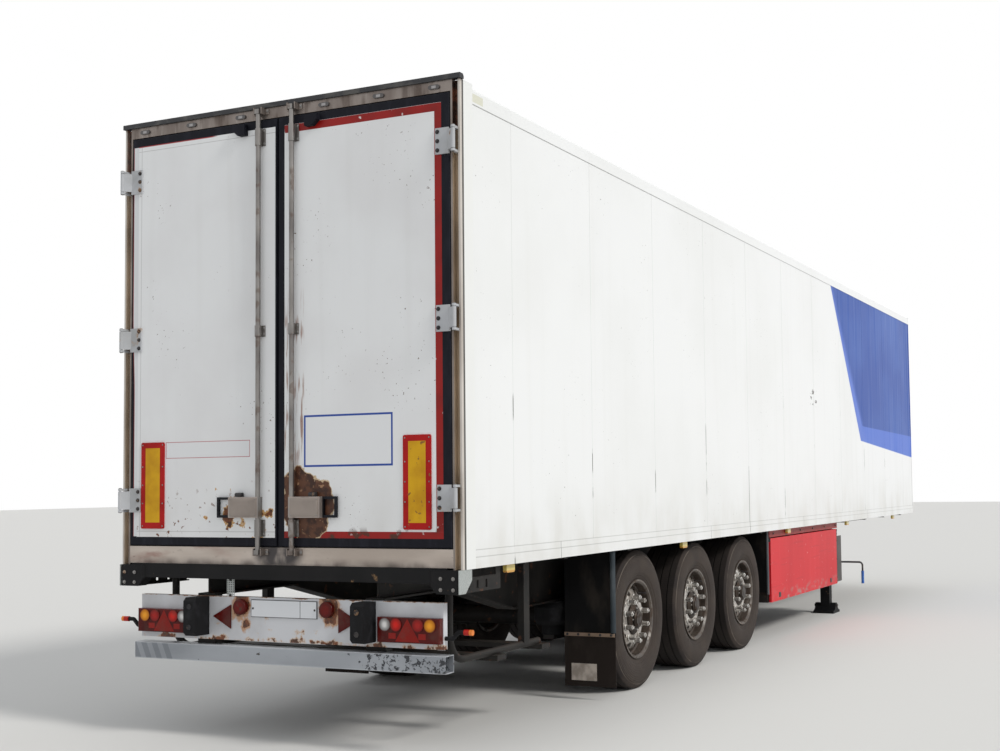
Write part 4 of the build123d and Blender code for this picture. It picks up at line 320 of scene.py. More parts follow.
sticker = both(band(ahead, 0.05, 0.29), band(z, 3.915, 3.965), right_side)
skin = over(skin, times(sticker, 0.8), "d2d1ba")
strip = both(band(ahead, 0.03, 0.10), band(z, 3.62, 3.89), right_side)
skin = over(skin, times(strip, 0.7), "cfd9e3")
wave = mottle(point, 0.9, 0.2, 0.8, stretch=(1.2, 1, 0.25), detail=1.0)
gloss = spread(runs, 0.3, 0.42)
show(laminate, skin, gloss, wave, depth=0.004, strength=0.35)
unfilmed = outside(times(field, 0.9))
feed(laminate, times(unfilmed, 0.25), "Coat Weight")
feed(laminate, times(unfilmed, 0.5), "Specular IOR Level")
dress(laminate, "side_wall_left", "side_wall_right", "front_wall")

roof_skin = paint("roof_sheet", Roughness=0.5)
point, x, y, z = spot(roof_skin)
dust = mottle(point, 1.3, 0.3, 0.75)
pools = mottle(point, 0.45, 0.52, 0.62, detail=3.0)
roof_colour = over("dcdcd8", dust, "c6c3ba")
roof_colour = over(roof_colour, times(pools, 0.35), "a39d90")
show(roof_skin, roof_colour, None, dust, depth=0.002, strength=0.3)
dress(roof_skin, "roof_panel")

# Rear frame: stainless posts and header, tarnished brown, with rust inside the hinge channels.
# The gutter is a black angle and the sill a scuffed aluminium pressing.
frame_steel = paint("frame_steel", Roughness=0.42)
point, x, y, z = spot(frame_steel)
tarnish = mottle(point, 5.0, 0.38, 0.66, stretch=(1, 1.4, 0.5))
steel_colour = over("8a817b", tarnish, "736963")
brown = mottle(point, 9.0, 0.52, 0.68, stretch=(1, 1.5, 0.3), shift=(4, 2, 7))
steel_colour = over(steel_colour, times(brown, 0.35), "55443a")
scrape = mottle(point, 40.0, 0.6, 0.7, stretch=(1, 1, 0.08))
steel_colour = over(steel_colour, times(scrape, 0.25), "b5afa9")
side_reach = unsigned(y)
channel = both(
    band(side_reach, 1.2486, 1.2874, 0.0004),
    rise(x, rear_x + 0.0066, rear_x + 0.009),
    rise(x, rear_x + 0.06, rear_x + 0.05),
)
rusty = either(rise(z, 3.70, 3.75), mottle(point, 7.0, 0.68, 0.74, stretch=(1, 1, 0.4)))
rust = over("33241d", mottle(point, 14.0, 0.4, 0.62), "7c4a33")
channel_brown = over("c0ab91", tarnish, "a08d77")
channel_brown = over(channel_brown, rusty, rust)
steel_colour = over(steel_colour, channel, channel_brown)
flange = both(rise(side_reach, 1.2868, 1.2874), rise(z, 4.02, 4.0))
light = over("cdc6be", tarnish, "b3aaa1")
steel_colour = over(steel_colour, flange, light)
outer = both(rise(side_reach, 1.2994, 1.2998), rise(x, rear_x + 0.028, rear_x + 0.030))
joint = both(outer, rise(x, rear_x + 0.050, rear_x + 0.048))
steel_colour = over(steel_colour, outer, over("e9eae8", joint, "45413d"))
gloss = spread(brown, 0.36, 0.7)
show(frame_steel, steel_colour, gloss, scrape, depth=0.001, strength=0.3)
bare = outside(either(flange, channel))
feed(frame_steel, times(bare, 0.7), "Metallic")
dress(frame_steel, "rear_posts", "rear_header", "lock_keepers")

gutter_paint = paint("gutter_paint", Roughness=0.55)
point, x, y, z = spot(gutter_paint)
grit = mottle(point, 14.0, 0.5, 0.7, stretch=(1, 0.6, 1))
show(gutter_paint, over("25262a", grit, "4a4947"), None, grit, depth=0.002)
dress(gutter_paint, "roof_gutter")


def near(y, z, centre, size):
    """1 at a centre, fading to 0 at its size in y and in z, and below 0 farther out."""
    return outside(away(times(minus(y, centre[0]), 1 / size[0]), times(minus(z, centre[1]), 1 / size[1])))


sill_metal = paint("sill_metal", Metallic=0.55, Roughness=0.5)
point, x, y, z = spot(sill_metal)
scuffs = mottle(point, 3.0, 0.35, 0.72, stretch=(1, 0.5, 2))
sill_colour = over("aea298", scuffs, "c8bdb3")
stain = both(mottle(point, 4.0, 0.45, 0.6, stretch=(1, 0.6, 2), shift=(1, 5, 2)), rise(y, 0.2, 0.9))
sill_colour = over(sill_colour, times(stain, 0.7), "8a5f55")
grime = both(rise(z, 1.165, 1.112), mottle(point, 7.0, 0.3, 0.7, stretch=(1, 1, 0.6)))
sill_colour = over(sill_colour, times(grime, 0.8), "5d5450")
worn_dark = both(
    rise(near(y, z, (0.03, 1.17), (0.30, 0.12)), 0.25, 0.6),
    mottle(point, 9.0, 0.3, 0.6, stretch=(1, 1, 0.6)),
)
sill_colour = over(sill_colour, worn_dark, "4b4747")
dents = mottle(point, 30.0, 0.66, 0.76, stretch=(1, 0.3, 1))
sill_colour = over(sill_colour, times(dents, 0.6), "6c655f")
show(sill_metal, sill_colour, None, scuffs, depth=0.002, strength=0.4)
dress(sill_metal, "rear_sill")


# Rear doors: white laminate leaves. The right one carries a dark red border and a rust patch
# where the handle has rubbed; each has a blank printed notice and dirt round its fittings.
def outline(y, z, box, width):
    """The printed outline of a notice whose corners are (low y, high y, low z, high z)."""
    sheet = both(band(y, box[0], box[1]), band(z, box[2], box[3]))
    inside = both(band(y, box[0] + width, box[1] - width), band(z, box[2] + width, box[3] - width))
    return sheet, inside


def door_paint(side):
    """The paint of one leaf, seen on its outer face."""
    material = paint("door_paint_" + side, Roughness=0.4, Specular_IOR_Level=0.3)
    point, x, y, z = spot(material)
    face = rise(x, rear_x + 0.003, rear_x + 0.001)
    colour = over("ecedee", mottle(point, 1.4, 0.4, 0.7), "e6e6e7")
    runs = mottle(point, 1.0, 0.5, 0.8, stretch=(1, 11, 0.5))
    colour = over(colour, times(runs, 0.12), "cfcecb")
    foot = both(rise(z, 1.9, 1.25), mottle(point, 4.0, 0.35, 0.75, stretch=(1, 1, 0.5)))
    colour = over(colour, times(foot, 0.22), "bdb7ae")
    specks = mottle(point, 55.0, 0.70, 0.73, detail=2.0)
    patches = mottle(point, 1.6, 0.5, 0.62, shift=(2, 1, 0))
    colour = over(colour, both(specks, patches), "5b3f33")
    if side == "right":
        ring, middle = outline(y, z, (-1.176, 0.5, 1.2, 3.887), 0.050)
        wear = mottle(point, 16.0, 0.64, 0.68, detail=6.0)
        red = over("96120e", mottle(point, 6.0, 0.4, 0.7), "820f0a")
        red = over(red, wear, "d8cfcd")
        low_band = both(band(z, 1.28, 1.321), rise(y, -0.02, -0.025))
        edge = both(ring, outside(middle), rise(z, 1.32, 1.322))
        colour = over(colour, either(edge, low_band), red)
        sheet, middle = outline(y, z, (-0.824, -0.175, 1.72, 2.04), 0.0125)
        colour = over(colour, sheet, "2b4c9e")
        colour = over(colour, middle, "e9eaec")
        reach = either(near(y, z, (-0.195, 1.46), (0.25, 0.27)), near(y, z, (-0.15, 1.60), (0.16, 0.16)))
        lobes = lumps(point, 7.0, 4.0, 0.5)
        core = plus(reach, times(minus(lobes, 0.5), 0.9))
        rust = rise(core, 0.26, 0.28)
        bare = rise(core, 0.22, 0.25)
        deep = mottle(point, 18.0, 0.4, 0.62, detail=8.0)
        brown = over("5d3a27", deep, "3a2218")
        brown = over(brown, mottle(point, 34.0, 0.62, 0.7), "a07a5c")
        colour = over(colour, bare, "c9b190")
        colour = over(colour, rust, brown)
        streak = both(
            mottle(point, 6.0, 0.5, 0.66, stretch=(1, 9, 0.8)),
            band(y, -0.17, -0.03, 0.01),
            band(z, 1.9, 2.58, 0.3),
        )
        colour = over(colour, times(streak, 0.75), "8a5233")
        low = both(mottle(point, 12.0, 0.58, 0.64), rise(z, 1.36, 1.29))
        colour = over(colour, low, "4d2b1e")
    else:
        sheet, middle = outline(y, z, (0.245, 0.928, 1.793, 1.898), 0.004)
        colour = over(colour, sheet, "b4626a")
        colour = over(colour, middle, "e6e7e9")
        step = either(band(y, 1.148, 1.151), band(z, 3.852, 3.855), band(z, 1.316, 1.319))
        colour = over(colour, times(step, 0.4), "8d8a88")
        thin = both(rise(z, 3.881, 3.884), rise(y, 0.5, 0.56))
        colour = over(colour, thin, "a23438")
        reach = near(y, z, (0.3, 1.42), (0.36, 0.22))
        lobes = lumps(point, 9.0, 5.0, 0.55)
        core = plus(reach, times(minus(lobes, 0.5), 3.0))
        colour = over(colour, rise(core, 0.62, 0.66), "c9a06c")
        brown = over("7b4526", mottle(point, 25.0, 0.4, 0.6), "43281b")
        colour = over(colour, rise(core, 0.74, 0.78), brown)
        chips = both(mottle(point, 26.0, 0.66, 0.69, detail=3.0), rise(z, 1.75, 1.3))
        colour = over(colour, chips, "71452c")
    inner = over("d7d7d4", mottle(point, 3.0, 0.4, 0.7), "c6c4be")
    colour = over(inner, face, colour)
    wave = mottle(point, 1.1, 0.2, 0.8, stretch=(1, 1, 0.4), detail=1.0)
    return show(material, colour, None, wave, depth=0.003, strength=0.3)


dress(door_paint("left"), "door_left")
dress(door_paint("right"), "door_right")

seal_rubber = paint("seal_rubber", Roughness=0.7, Specular_IOR_Level=0.2)
point, x, y, z = spot(seal_rubber)
dusty = mottle(point, 9.0, 0.45, 0.75, stretch=(1, 2, 0.5))
rubber = over("10111a", dusty, "1d1e27")
edge = both(rise(y, 1.1745, 1.1752), rise(x, rear_x + 0.004, rear_x + 0.002))
line = reckon("MULTIPLY_ADD", rise(z, 2.2, 2.75), 0.014, 1.200)
past = minus(y, line)
clear = both(edge, band(z, 1.285, 3.885, 0.001))
rubber = over(rubber, both(clear, rise(past, 0.006, 0.005)), "8e2a2c")
rubber = over(rubber, both(clear, rise(past, 0.001, 0.0)), "dddee0")
show(seal_rubber, rubber, None, dusty, depth=0.001)
dress(seal_rubber, "door_seal_left", "door_seal_right")


# Door fittings: white painted hinge straps, each with three dark bolts, and a worn steel lock
# rod with its guides, case and rubber loop on each leaf. Rust has run from the bolts.
def chipped(name, colour_code, under_code, amount, roughness=0.45, metallic=0.0):
    """Paint that has chipped to rust, more of it where amount is higher."""
    material = paint(name, Roughness=roughness, Metallic=metallic)
    point, x, y, z = spot(material)
    colour = over(tone(colour_code), mottle(point, 4.0, 0.4, 0.75), tone(under_code))
    blotch = mottle(point, 11.0, 0.66 - amount, 0.7 - amount, detail=7.0)
    halo = mottle(point, 11.0, 0.60 - amount, 0.68 - amount, detail=7.0)
    brown = over("6f4329", mottle(point, 30.0, 0.4, 0.6), "3f281d")
    colour = over(colour, times(halo, 0.55), "b08a62")
    colour = over(colour, blotch, brown)
    return show(material, colour, None, blotch, depth=0.001, strength=0.5)


hinge_paint = chipped("hinge_paint", "b9bbbf", "a5a6a7", -0.04)
dress(hinge_paint, "door_hinges_left", "door_hinges_right", "hinge_lugs")

lock_steel = paint("lock_steel", Metallic=0.8, Roughness=0.4)
point, x, y, z = spot(lock_steel)
dull = mottle(point, 8.0, 0.35, 0.7, stretch=(1, 1, 0.4))
lock_colour = over("8f8c89", dull, "6d6967")
rub = mottle(point, 14.0, 0.55, 0.66, detail=8.0)
lock_colour = over(lock_colour, times(rub, 0.3), "6f5240")
loops = both(band(z, 1.400, 1.545), either(rise(y, 0.386, 0.389), rise(y, -0.326, -0.329)))
lock_colour = over(lock_colour, loops, "202126")
case = both(band(z, 1.4065, 1.5375), outside(loops), either(rise(y, 0.150, 0.152), rise(y, -0.090, -0.092)))
lock_colour = over(lock_colour, case, over("a59b95", dull, "8f857f"))
show(lock_steel, lock_colour, spread(rub, 0.34, 0.75), rub, depth=0.001)
dress(lock_steel, "door_lock_left", "door_lock_right")

board_paint = paint("board_paint", Roughness=0.45, Specular_IOR_Level=0.15)
point, x, y, z = spot(board_paint)
yellow = either(
    both(band(y, 0.976, 1.096, 0.001), band(z, 1.376, 1.862, 0.001)),
    both(band(y, -1.057, -0.937, 0.001), band(z, 1.376, 1.862, 0.001)),
)
worn = mottle(point, 26.0, 0.62, 0.67, detail=7.0)
red = over("b21c1c", mottle(point, 7.0, 0.4, 0.7), "9b1414")
gold = over("dba821", mottle(point, 7.0, 0.35, 0.7), "c48f1d")
board_colour = over(red, yellow, gold)
board_colour = over(board_colour, both(worn, rise(y, 0.0, -1.0)), "8c6233")
grain = knot("TexVoronoi", {"Vector": point, "Scale": 260.0}).outputs["Distance"]
show(board_paint, board_colour, None, grain, depth=0.0006, strength=0.4)
dress(board_paint, "marker_board_left", "marker_board_right")

# Under the doors: a black crossbeam with bolted end buffers and galvanised corner plates, and
# below it the white lamp panel, rusty at its folds, and the peeling underrun guard.
beam_paint = chipped("beam_paint", "0d0d0f", "181718", -0.08, 0.6)
beam_paint.node_tree.nodes["Principled BSDF"].inputs["Specular IOR Level"].default_value = 0.2
dress(beam_paint, "rear_crossbeam", "landing_legs", "air_tanks")

zinc = paint("zinc", Metallic=0.6, Roughness=0.45)
point, x, y, z = spot(zinc)
spangle = knot("TexVoronoi", {"Vector": point, "Scale": 90.0}).outputs["Distance"]
zinc_colour = over("b9bdbb", rise(spangle, 0.2, 0.7), "acb1af")
show(zinc, zinc_colour, None, spangle, depth=0.0005, strength=0.2)
dress(zinc, "corner_plates", "kingpin")

panel_paint = paint("panel_paint", Roughness=0.42)
point, x, y, z = spot(panel_paint)
panel_colour = over("cfd0d4", mottle(point, 3.0, 0.4, 0.7), "bdbdc0")
lip = either(rise(z, 0.675, 0.634), rise(z, 0.895, 0.905))
edge_noise = lumps(point, 9.0, 9.0, 0.62)
edge_rust = plus(times(lip, 0.16), edge_noise)
panel_colour = over(panel_colour, times(rise(edge_rust, 0.6, 0.7), 0.7), "c99a5b")
brown = over("7a4423", mottle(point, 30.0, 0.4, 0.6), "43271a")
panel_colour = over(panel_colour, rise(edge_rust, 0.66, 0.7), brown)
halo_noise = times(minus(edge_noise, 0.5), 2.4)
for centre, reach in (
    ((0.33, 0.842), (0.10, 0.10)), ((-0.34, 0.842), (0.09, 0.10)), ((0.30, 0.735), (0.04, 0.06))
):
    halo = plus(near(y, z, centre, reach), halo_noise)
    panel_colour = over(panel_colour, times(rise(halo, -0.05, 0.25), 0.8), "b47f4a")
    panel_colour = over(panel_colour, rise(halo, 0.3, 0.4), brown)
plate_whole, plate_middle = outline(y, z, (-0.252, 0.252, 0.782, 0.89), 0.004)
plate_line = both(plate_whole, outside(plate_middle))
plate_split = both(plate_whole, band(y, -0.128, -0.125, 0.001))
panel_colour = over(panel_colour, both(plate_middle, rise(x, rear_x + 0.027, rear_x + 0.025)), "dadce0")
panel_colour = over(panel_colour, either(plate_line, plate_split), "24252a")
show(panel_paint, panel_colour, None, edge_rust, depth=0.002, strength=0.4)
dress(panel_paint, "lamp_panel")

guard_paint = paint("guard_paint", Roughness=0.48, Metallic=0.1)
point, x, y, z = spot(guard_paint)
guard_colour = over("a3a7ad", mottle(point, 3.0, 0.4, 0.7, stretch=(1, 0.4, 1)), "8d9197")
slant = plus(y, times(z, -0.45))
stripe = band(zigzag(minus(slant, 0.62), 0.044), 0.022, 0.05, 0.002)
stripes = both(stripe, rise(slant, 0.598, 0.602))
guard_colour = over(guard_colour, times(stripes, 0.65), "6e737a")
flake = lumps(point, 21.0, 10.0, 0.7)
bare = plus(flake, times(rise(y, -0.42, -0.72), 0.14))
guard_colour = over(guard_colour, rise(bare, 0.665, 0.68), "33353a")
chips = mottle(point, 30.0, 0.72, 0.75, stretch=(1, 0.5, 1), detail=3.0)
guard_colour = over(guard_colour, chips, "4a4744")
# Painted highlight: a lighter line along the guard's top and bottom lips.
lip_highlight = either(rise(z, 0.499, 0.495), rise(z, 0.590, 0.594))
guard_colour = over(guard_colour, times(lip_highlight, 0.5), "c9ccd0")
show(guard_paint, guard_colour, None, bare, depth=0.001, strength=0.5)
dress(guard_paint, "underrun_guard")

buffer_rubber = paint("buffer_rubber", Roughness=0.75, Specular_IOR_Level=0.2)
point, x, y, z = spot(buffer_rubber)
scuffed = mottle(point, 12.0, 0.5, 0.75)
show(buffer_rubber, over("141416", scuffed, "232326"), None, scuffed, depth=0.002)
dress(buffer_rubber, "rubber_buffers", "air_springs")

lens = paint("lamp_lens", Roughness=0.2, Specular_IOR_Level=0.15, Coat_Weight=0.06, Coat_Roughness=0.05)
point, x, y, z = spot(lens)
reach = unsigned(y)


def disc(y_at, z_at, radius, soft=0.002):
    """1 within a circle on the lamps' faces."""
    off_y = minus(reach, y_at)
    off_z = minus(z, z_at)
    distance = away(off_y, off_z)
    return rise(distance, radius + soft, radius), distance


lens_colour = over("560e0b", mottle(point, 10.0, 0.4, 0.7), "430b09")
rings = zigzag(times(z, 160.0), 0.5)
for y_at, code, core in (
    (0.772, "8f8d8c", "e6e4e2"),
    (0.850, "a01b16", "d4241c"),
    (1.002, "861a17", "a52420"),
    (1.085, "c4761a", "f0a12c"),
):
    inside, distance = disc(y_at, 0.772, 0.038)
    glow = rise(distance, 0.034, 0.006)
    lens_colour = over(lens_colour, inside, over(tone(code), glow, tone(core)))
    rim = both(inside, rise(distance, 0.033, 0.036))
    lens_colour = over(lens_colour, times(rim, 0.6), "4c1614")
    rings = over(rings, inside, zigzag(times(distance, 170.0), 0.5))
lift = minus(z, 0.672)
wedge = reckon("MULTIPLY_ADD", lift, 0.62, unsigned(minus(reach, 0.928)))
triangle = both(rise(wedge, 0.086, 0.084), rise(lift, 0.0, 0.002), rise(reach, 0.729, 0.731))
lens_colour = over(lens_colour, triangle, "86180f")
for y_at in (0.822, 1.030):
    block = both(band(reach, y_at - 0.024, y_at + 0.024), band(z, 0.690, 0.722))
    lens_colour = over(lens_colour, block, "8d1d17")
round_red, distance = disc(0.330, 0.842, 0.049)
centre = both(
    round_red, mottle(point, 24.0, 0.42, 0.6, detail=6.0), rise(y, 0.0, 0.1), rise(distance, 0.034, 0.022)
)
lens_colour = over(lens_colour, round_red, over("4e0f0c", rise(distance, 0.045, 0.02), "66130f"))
lens_colour = over(lens_colour, centre, "4c3228")
tip = both(rise(reach, 1.317, 1.319), rise(x, rear_x + 0.2, rear_x + 0.1))
lens_colour = over(lens_colour, tip, "e8843a")
arm_lens = both(rise(reach, 1.27, 1.28), outside(tip), rise(x, rear_x + 0.2, rear_x + 0.1))
lens_colour = over(lens_colour, arm_lens, "b5251f")
grime = mottle(point, 9.0, 0.5, 0.7, detail=7.0)
lens_colour = over(lens_colour, times(grime, 0.35), "54433a")
show(lens, lens_colour, None, rings, depth=0.0015, strength=0.5)
dress(lens, "rear_lamps")

marker_lens = paint("marker_lens", Roughness=0.16, Coat_Weight=0.5)
point, x, y, z = spot(marker_lens)
flute = zigzag(times(plus(x, y), 180.0), 0.5)
low = rise(z, 2.0, 1.9)
spot_y = unsigned(y)
side_colour = over("c98c22", flute, "d9a640")
# Painted highlight: a pale yellow-green glint across the middle of each side lamp.
side_lamp_glint = both(band(z, 1.062, 1.092, 0.006), rise(spot_y, 1.2, 1.21))
side_colour = over(side_colour, times(side_lamp_glint, 0.6), "d3d07a")
cells = [band(spot_y, a - 0.012, a + 0.012, 0.006) for a in (1.125, 0.730, 0.325)]
slope = minus(z, 3.985)
glint = both(either(*cells), band(slope, -0.006, 0.006, 0.004))
top_colour = over("433f3f", glint, "9c9999")
show(marker_lens, over(top_colour, low, side_colour), None, flute, depth=0.001, strength=0.5)
dress(marker_lens, "marker_lamps")


# Fasteners of the doors: dark hexagon bolts through the hinge straps, small bolts on the rod
# guides, rivets in the marker boards and steel caps on the hinge pins.
def fresh(kind, scale=(1, 1, 1), **settings):
    """Start a piece from one primitive, placed and scaled, with nothing else selected."""
    bpy.ops.object.select_all(action="DESELECT")
    getattr(bpy.ops.mesh, "primitive_" + kind + "_add")(**settings)
    bpy.context.object.scale = scale
    bpy.ops.object.transform_apply(location=True, rotation=True, scale=True)
    return bpy.context.object


def pick(piece, test):
    """Select in edit mode the faces whose direction passes the test."""
    bpy.context.view_layer.objects.active = piece
    bpy.ops.object.mode_set(mode="EDIT")
    bpy.ops.mesh.select_mode(type="FACE")
    bpy.ops.mesh.select_all(action="DESELECT")
    form = bmesh.from_edit_mesh(piece.data)
    for face in form.faces:
        if test(face.normal):
            face.select_set(True)
    form.select_flush_mode()
    bmesh.update_edit_mesh(piece.data)


def done():
    """Leave edit mode."""
    bpy.ops.object.mode_set(mode="OBJECT")


def press(piece, way, *steps, ends=False):
    """Work the faces that look one way, or both ways at the ends.

    Each step is the width of an inset and how far the inner face then moves out.
    """
    way = Vector(way)
    pick(piece, lambda normal: (abs(normal.dot(way)) if ends else normal.dot(way)) > 0.9)
    for width, lift in steps:
        bpy.ops.mesh.inset(thickness=width)
        if lift:
            bpy.ops.transform.translate(value=way * lift)
    done()


def weld(*pieces):
    """Join pieces into the first of them."""
    bpy.ops.object.select_all(action="DESELECT")
    for piece in pieces:
        piece.select_set(True)
    bpy.context.view_layer.objects.active = pieces[0]
    bpy.ops.object.join()
    return bpy.context.object


def settle(piece, name, material, body="trailer", angle=35):
    """Fix the piece in place, give it its name and paint, and let it ride on a body."""
    bpy.ops.object.select_all(action="DESELECT")
    piece.select_set(True)
    bpy.context.view_layer.objects.active = piece
    bpy.ops.object.transform_apply(location=True, rotation=True, scale=True)
    bpy.ops.object.shade_smooth_by_angle(angle=radians(angle))
    piece.name = name
    piece.data.name = name
    piece.data.materials.clear()
    piece.data.materials.append(material)
    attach(piece, body)
    return piece


def aim(point, direction, spin=0.0):
    """The placing of a piece that was modelled upright at the origin."""
    swing = Vector(direction).to_track_quat("Z", "Y").to_matrix().to_4x4()
    return Matrix.Translation(point) @ swing @ Matrix.Rotation(spin, 4, "Z")


def lay(model, placings, name, material, body="trailer"):
    """Copy a model to each placing, join the copies and remove the model."""
    copies = []
    for placing in placings:
        copy = model.copy()
        copy.data = model.data.copy()
        copy.data.transform(placing)
        bpy.context.scene.collection.objects.link(copy)
        copies.append(copy)
    bpy.data.objects.remove(model)
    return settle(weld(*copies), name, material, body)


def row(model, spots, way, name, material, body="trailer", spin=0.0):
    """Lay a model at each spot, facing one way, each turned a little farther than the last."""
    return lay(model, [aim(p, way, spin * i) for i, p in enumerate(spots)], name, material, body)


def soften(piece, width, segments=2):
    """Round a piece's edges and apply it."""
    bpy.ops.object.select_all(action="DESELECT")
    piece.select_set(True)
    bpy.context.view_layer.objects.active = piece
    rounding = piece.modifiers.new("rounding", "BEVEL")
    rounding.width = width
    rounding.segments = segments
    rounding.limit_method = "ANGLE"
    bpy.ops.object.modifier_apply(modifier="rounding")
    return piece


def bolt(radius, height):
    """A hexagon head with a chamfered top, on a round washer."""
    washer = fresh(
        "cylinder", vertices=14, radius=radius * 1.5, depth=height * 0.3, location=(0, 0, height * 0.15)
    )
    press(washer, (0, 0, 1), (radius * 0.16, height * 0.06))
    head = fresh("cylinder", vertices=6, radius=radius, depth=height * 0.7, location=(0, 0, height * 0.65))
    press(head, (0, 0, 1), (radius * 0.16, height * 0.1))
    return weld(head, washer)


def stud(radius, height):
    """A low round head: a rivet, a screw or a pin's cap."""
    head = fresh("cylinder", vertices=14, radius=radius, depth=height * 0.6, location=(0, 0, height * 0.3))
    press(head, (0, 0, 1), (radius * 0.3, height * 0.28), (radius * 0.34, height * 0.12))
    return head


dark_bolt = chipped("dark_bolt", "2e2d30", "494543", 0.02, 0.42, 0.5)
grey_bolt = chipped("grey_bolt", "8f8d8b", "6f6b67", -0.02, 0.42, 0.7)
back = Vector((-1, 0, 0))
hinge_heights = (1.521, 2.585, 3.649)
guide_heights = ((1.341, 0.105), (2.585, 0.070), (3.829, 0.110))
rod_places = {"left": 0.160, "right": -0.100}
board_middles = {"left": 1.036, "right": -0.997}
for side, way in sides:
    body = "rear_door_" + side
    face = rear_x - 0.012
    spots = [(face, way * 1.155, z + step) for z in hinge_heights for step in (-0.056, 0.0, 0.056)]
    row(bolt(0.0088, 0.010), spots, back, "hinge_bolts_" + side, dark_bolt, body, 0.3)
    spots = [
        (rear_x - 0.006, rod_places[side] + step, z + climb * (tall / 2 - 0.015))
        for z, tall in guide_heights for step in (-0.031, 0.031) for climb in (-1, 1)
    ]
    row(bolt(0.0058, 0.006), spots, back, "guide_bolts_" + side, grey_bolt, body, 0.5)
    spots = [
        (rear_x - 0.006, board_middles[side] + step, z)
        for step in (-0.084, 0.084) for z in (1.352, 1.5, 1.62, 1.74, 1.883)
    ]
    row(stud(0.0048, 0.003), spots, back, "board_rivets_" + side, grey_bolt, body)
    spots = [((rear_x - 0.042, way * 1.280, z + up * 0.078), up) for z in hinge_heights for up in (-1, 1)]
    lay(stud(0.0105, 0.005), [aim(p, (0, 0, up)) for p, up in spots], "hinge_pin_caps_" + side, grey_bolt)

# Handles: a lipped cover plate with a stiffening rib on each handle case, screwed on, and the
# spring catch above it. The keepers stand on bolted base plates on the header and the sill.
handle_z = 1.472
case_paint = chipped("case_paint", "958a82", "7f756e", -0.05, 0.5, 0.2)
for side, way in sides:
    body = "rear_door_" + side
    middle = rod_places[side] + way * 0.104
    cover = fresh("cube", size=1, location=(rear_x - 0.0455, middle, handle_z), scale=(0.004, 0.212, 0.116))
    press(cover, (-1, 0, 0), (0.012, 0.0022), (0.014, -0.0018))
    settle(soften(cover, 0.0012), "handle_cover_" + side, case_paint, body)
    spots = [
        (rear_x - 0.0475, middle + step, handle_z + climb)
        for step in (-0.097, 0.097) for climb in (-0.049, 0.049)
    ]
    row(stud(0.0045, 0.003), spots, back, "handle_screws_" + side, grey_bolt, body)
    catch = fresh(
        "cube", size=1, location=(rear_x - 0.018, middle + way * 0.05, 1.549), scale=(0.03, 0.05, 0.02)
    )
    pick(catch, lambda normal: normal.z > 0.9)
    bpy.ops.mesh.inset(thickness=0.004)
    bpy.ops.transform.translate(value=(0.004, 0, 0.006))
    done()
    settle(soften(catch, 0.002), "handle_catch_" + side, dark_bolt, body)
base_spots = []
for rod_y in rod_places.values():
    for foot in (1.192, 3.998):
        base = fresh("cube", size=1, location=(rear_x + 0.004, rod_y, foot), scale=(0.006, 0.118, 0.038))
        settle(soften(base, 0.002), f"keeper_base_{len(base_spots)}", frame_steel)
        base_spots.append((rear_x + 0.001, rod_y, foot))
spots = [(x, y + step, z) for x, y, z in base_spots for step in (-0.048, 0.048)]
row(bolt(0.007, 0.007), spots, back, "keeper_bolts", grey_bolt, spin=0.7)

# Crossbeam and lamp panel fittings: four bolts in each end buffer, two screws in the plate
# carrier, two sunk bolts in each rubber buffer and a perforated steel strap by the left rail.
spots = [(rear_x - 0.026, way * y, z) for way in (-1, 1) for y in (1.167, 1.252) for z in (0.985, 1.050)]
row(bolt(0.0078, 0.009), spots, back, "buffer_plate_bolts", grey_bolt, spin=0.4)
spots = [(rear_x + 0.024, way * 0.236, 0.836) for way in (-1, 1)]
row(stud(0.0065, 0.004), spots, back, "plate_screws", dark_bolt)
spots = [(rear_x - 0.110, way * 0.635, z) for way in (-1, 1) for z in (0.716, 0.846)]
ring = fresh("cylinder", vertices=20, radius=0.017, depth=0.003, location=(0, 0, 0.0015))
press(ring, (0, 0, 1), (0.003, 0), (0.001, -0.0026))
row(ring, spots, back, "buffer_bolt_cups", dark_bolt)
strap = fresh(
    "grid", x_subdivisions=4, y_subdivisions=10, size=1, location=(0, 0, 0), scale=(0.060, 0.115, 1)
)
pick(strap, lambda normal: True)
bpy.ops.mesh.inset(thickness=0.0028, use_individual=True)
bpy.ops.mesh.delete(type="FACE")
done()
thick = strap.modifiers.new("thick", "SOLIDIFY")
thick.thickness = 0.002
bpy.ops.object.modifier_apply(modifier="thick")
lay(strap, [aim((rear_x + 0.052, 0.437, 0.962), back)], "perforated_strap", zinc)
spots = [(rear_x + 0.050, 0.437, z) for z in (0.909, 1.012)]
row(bolt(0.007, 0.007), spots, back, "strap_bolts", dark_bolt)

# Wheels: cast nuts with washers and stud tips round each hub, a bolted hub cap and a valve.
# The discs are dull silver paint under brown brake dust, with a painted highlight on the dish and painted
# shade in the barrel and rim flange.
axles = {"rear": 2.92, "middle": 4.23, "front": 5.54}
axle_pitch = 1.31
wheel_z = 0.536
tyre_middle_y = 1.0195
wheel_steel = paint("wheel_steel", Roughness=0.42)
point, x, y, z = spot(wheel_steel)
reach = unsigned(y)
dust = mottle(point, 9.0, 0.36, 0.66, detail=7.0)
run = zigzag(minus(x, rear_x + axles["rear"]), axle_pitch / 2)
climb = minus(z, wheel_z)
radius = away(run, climb)
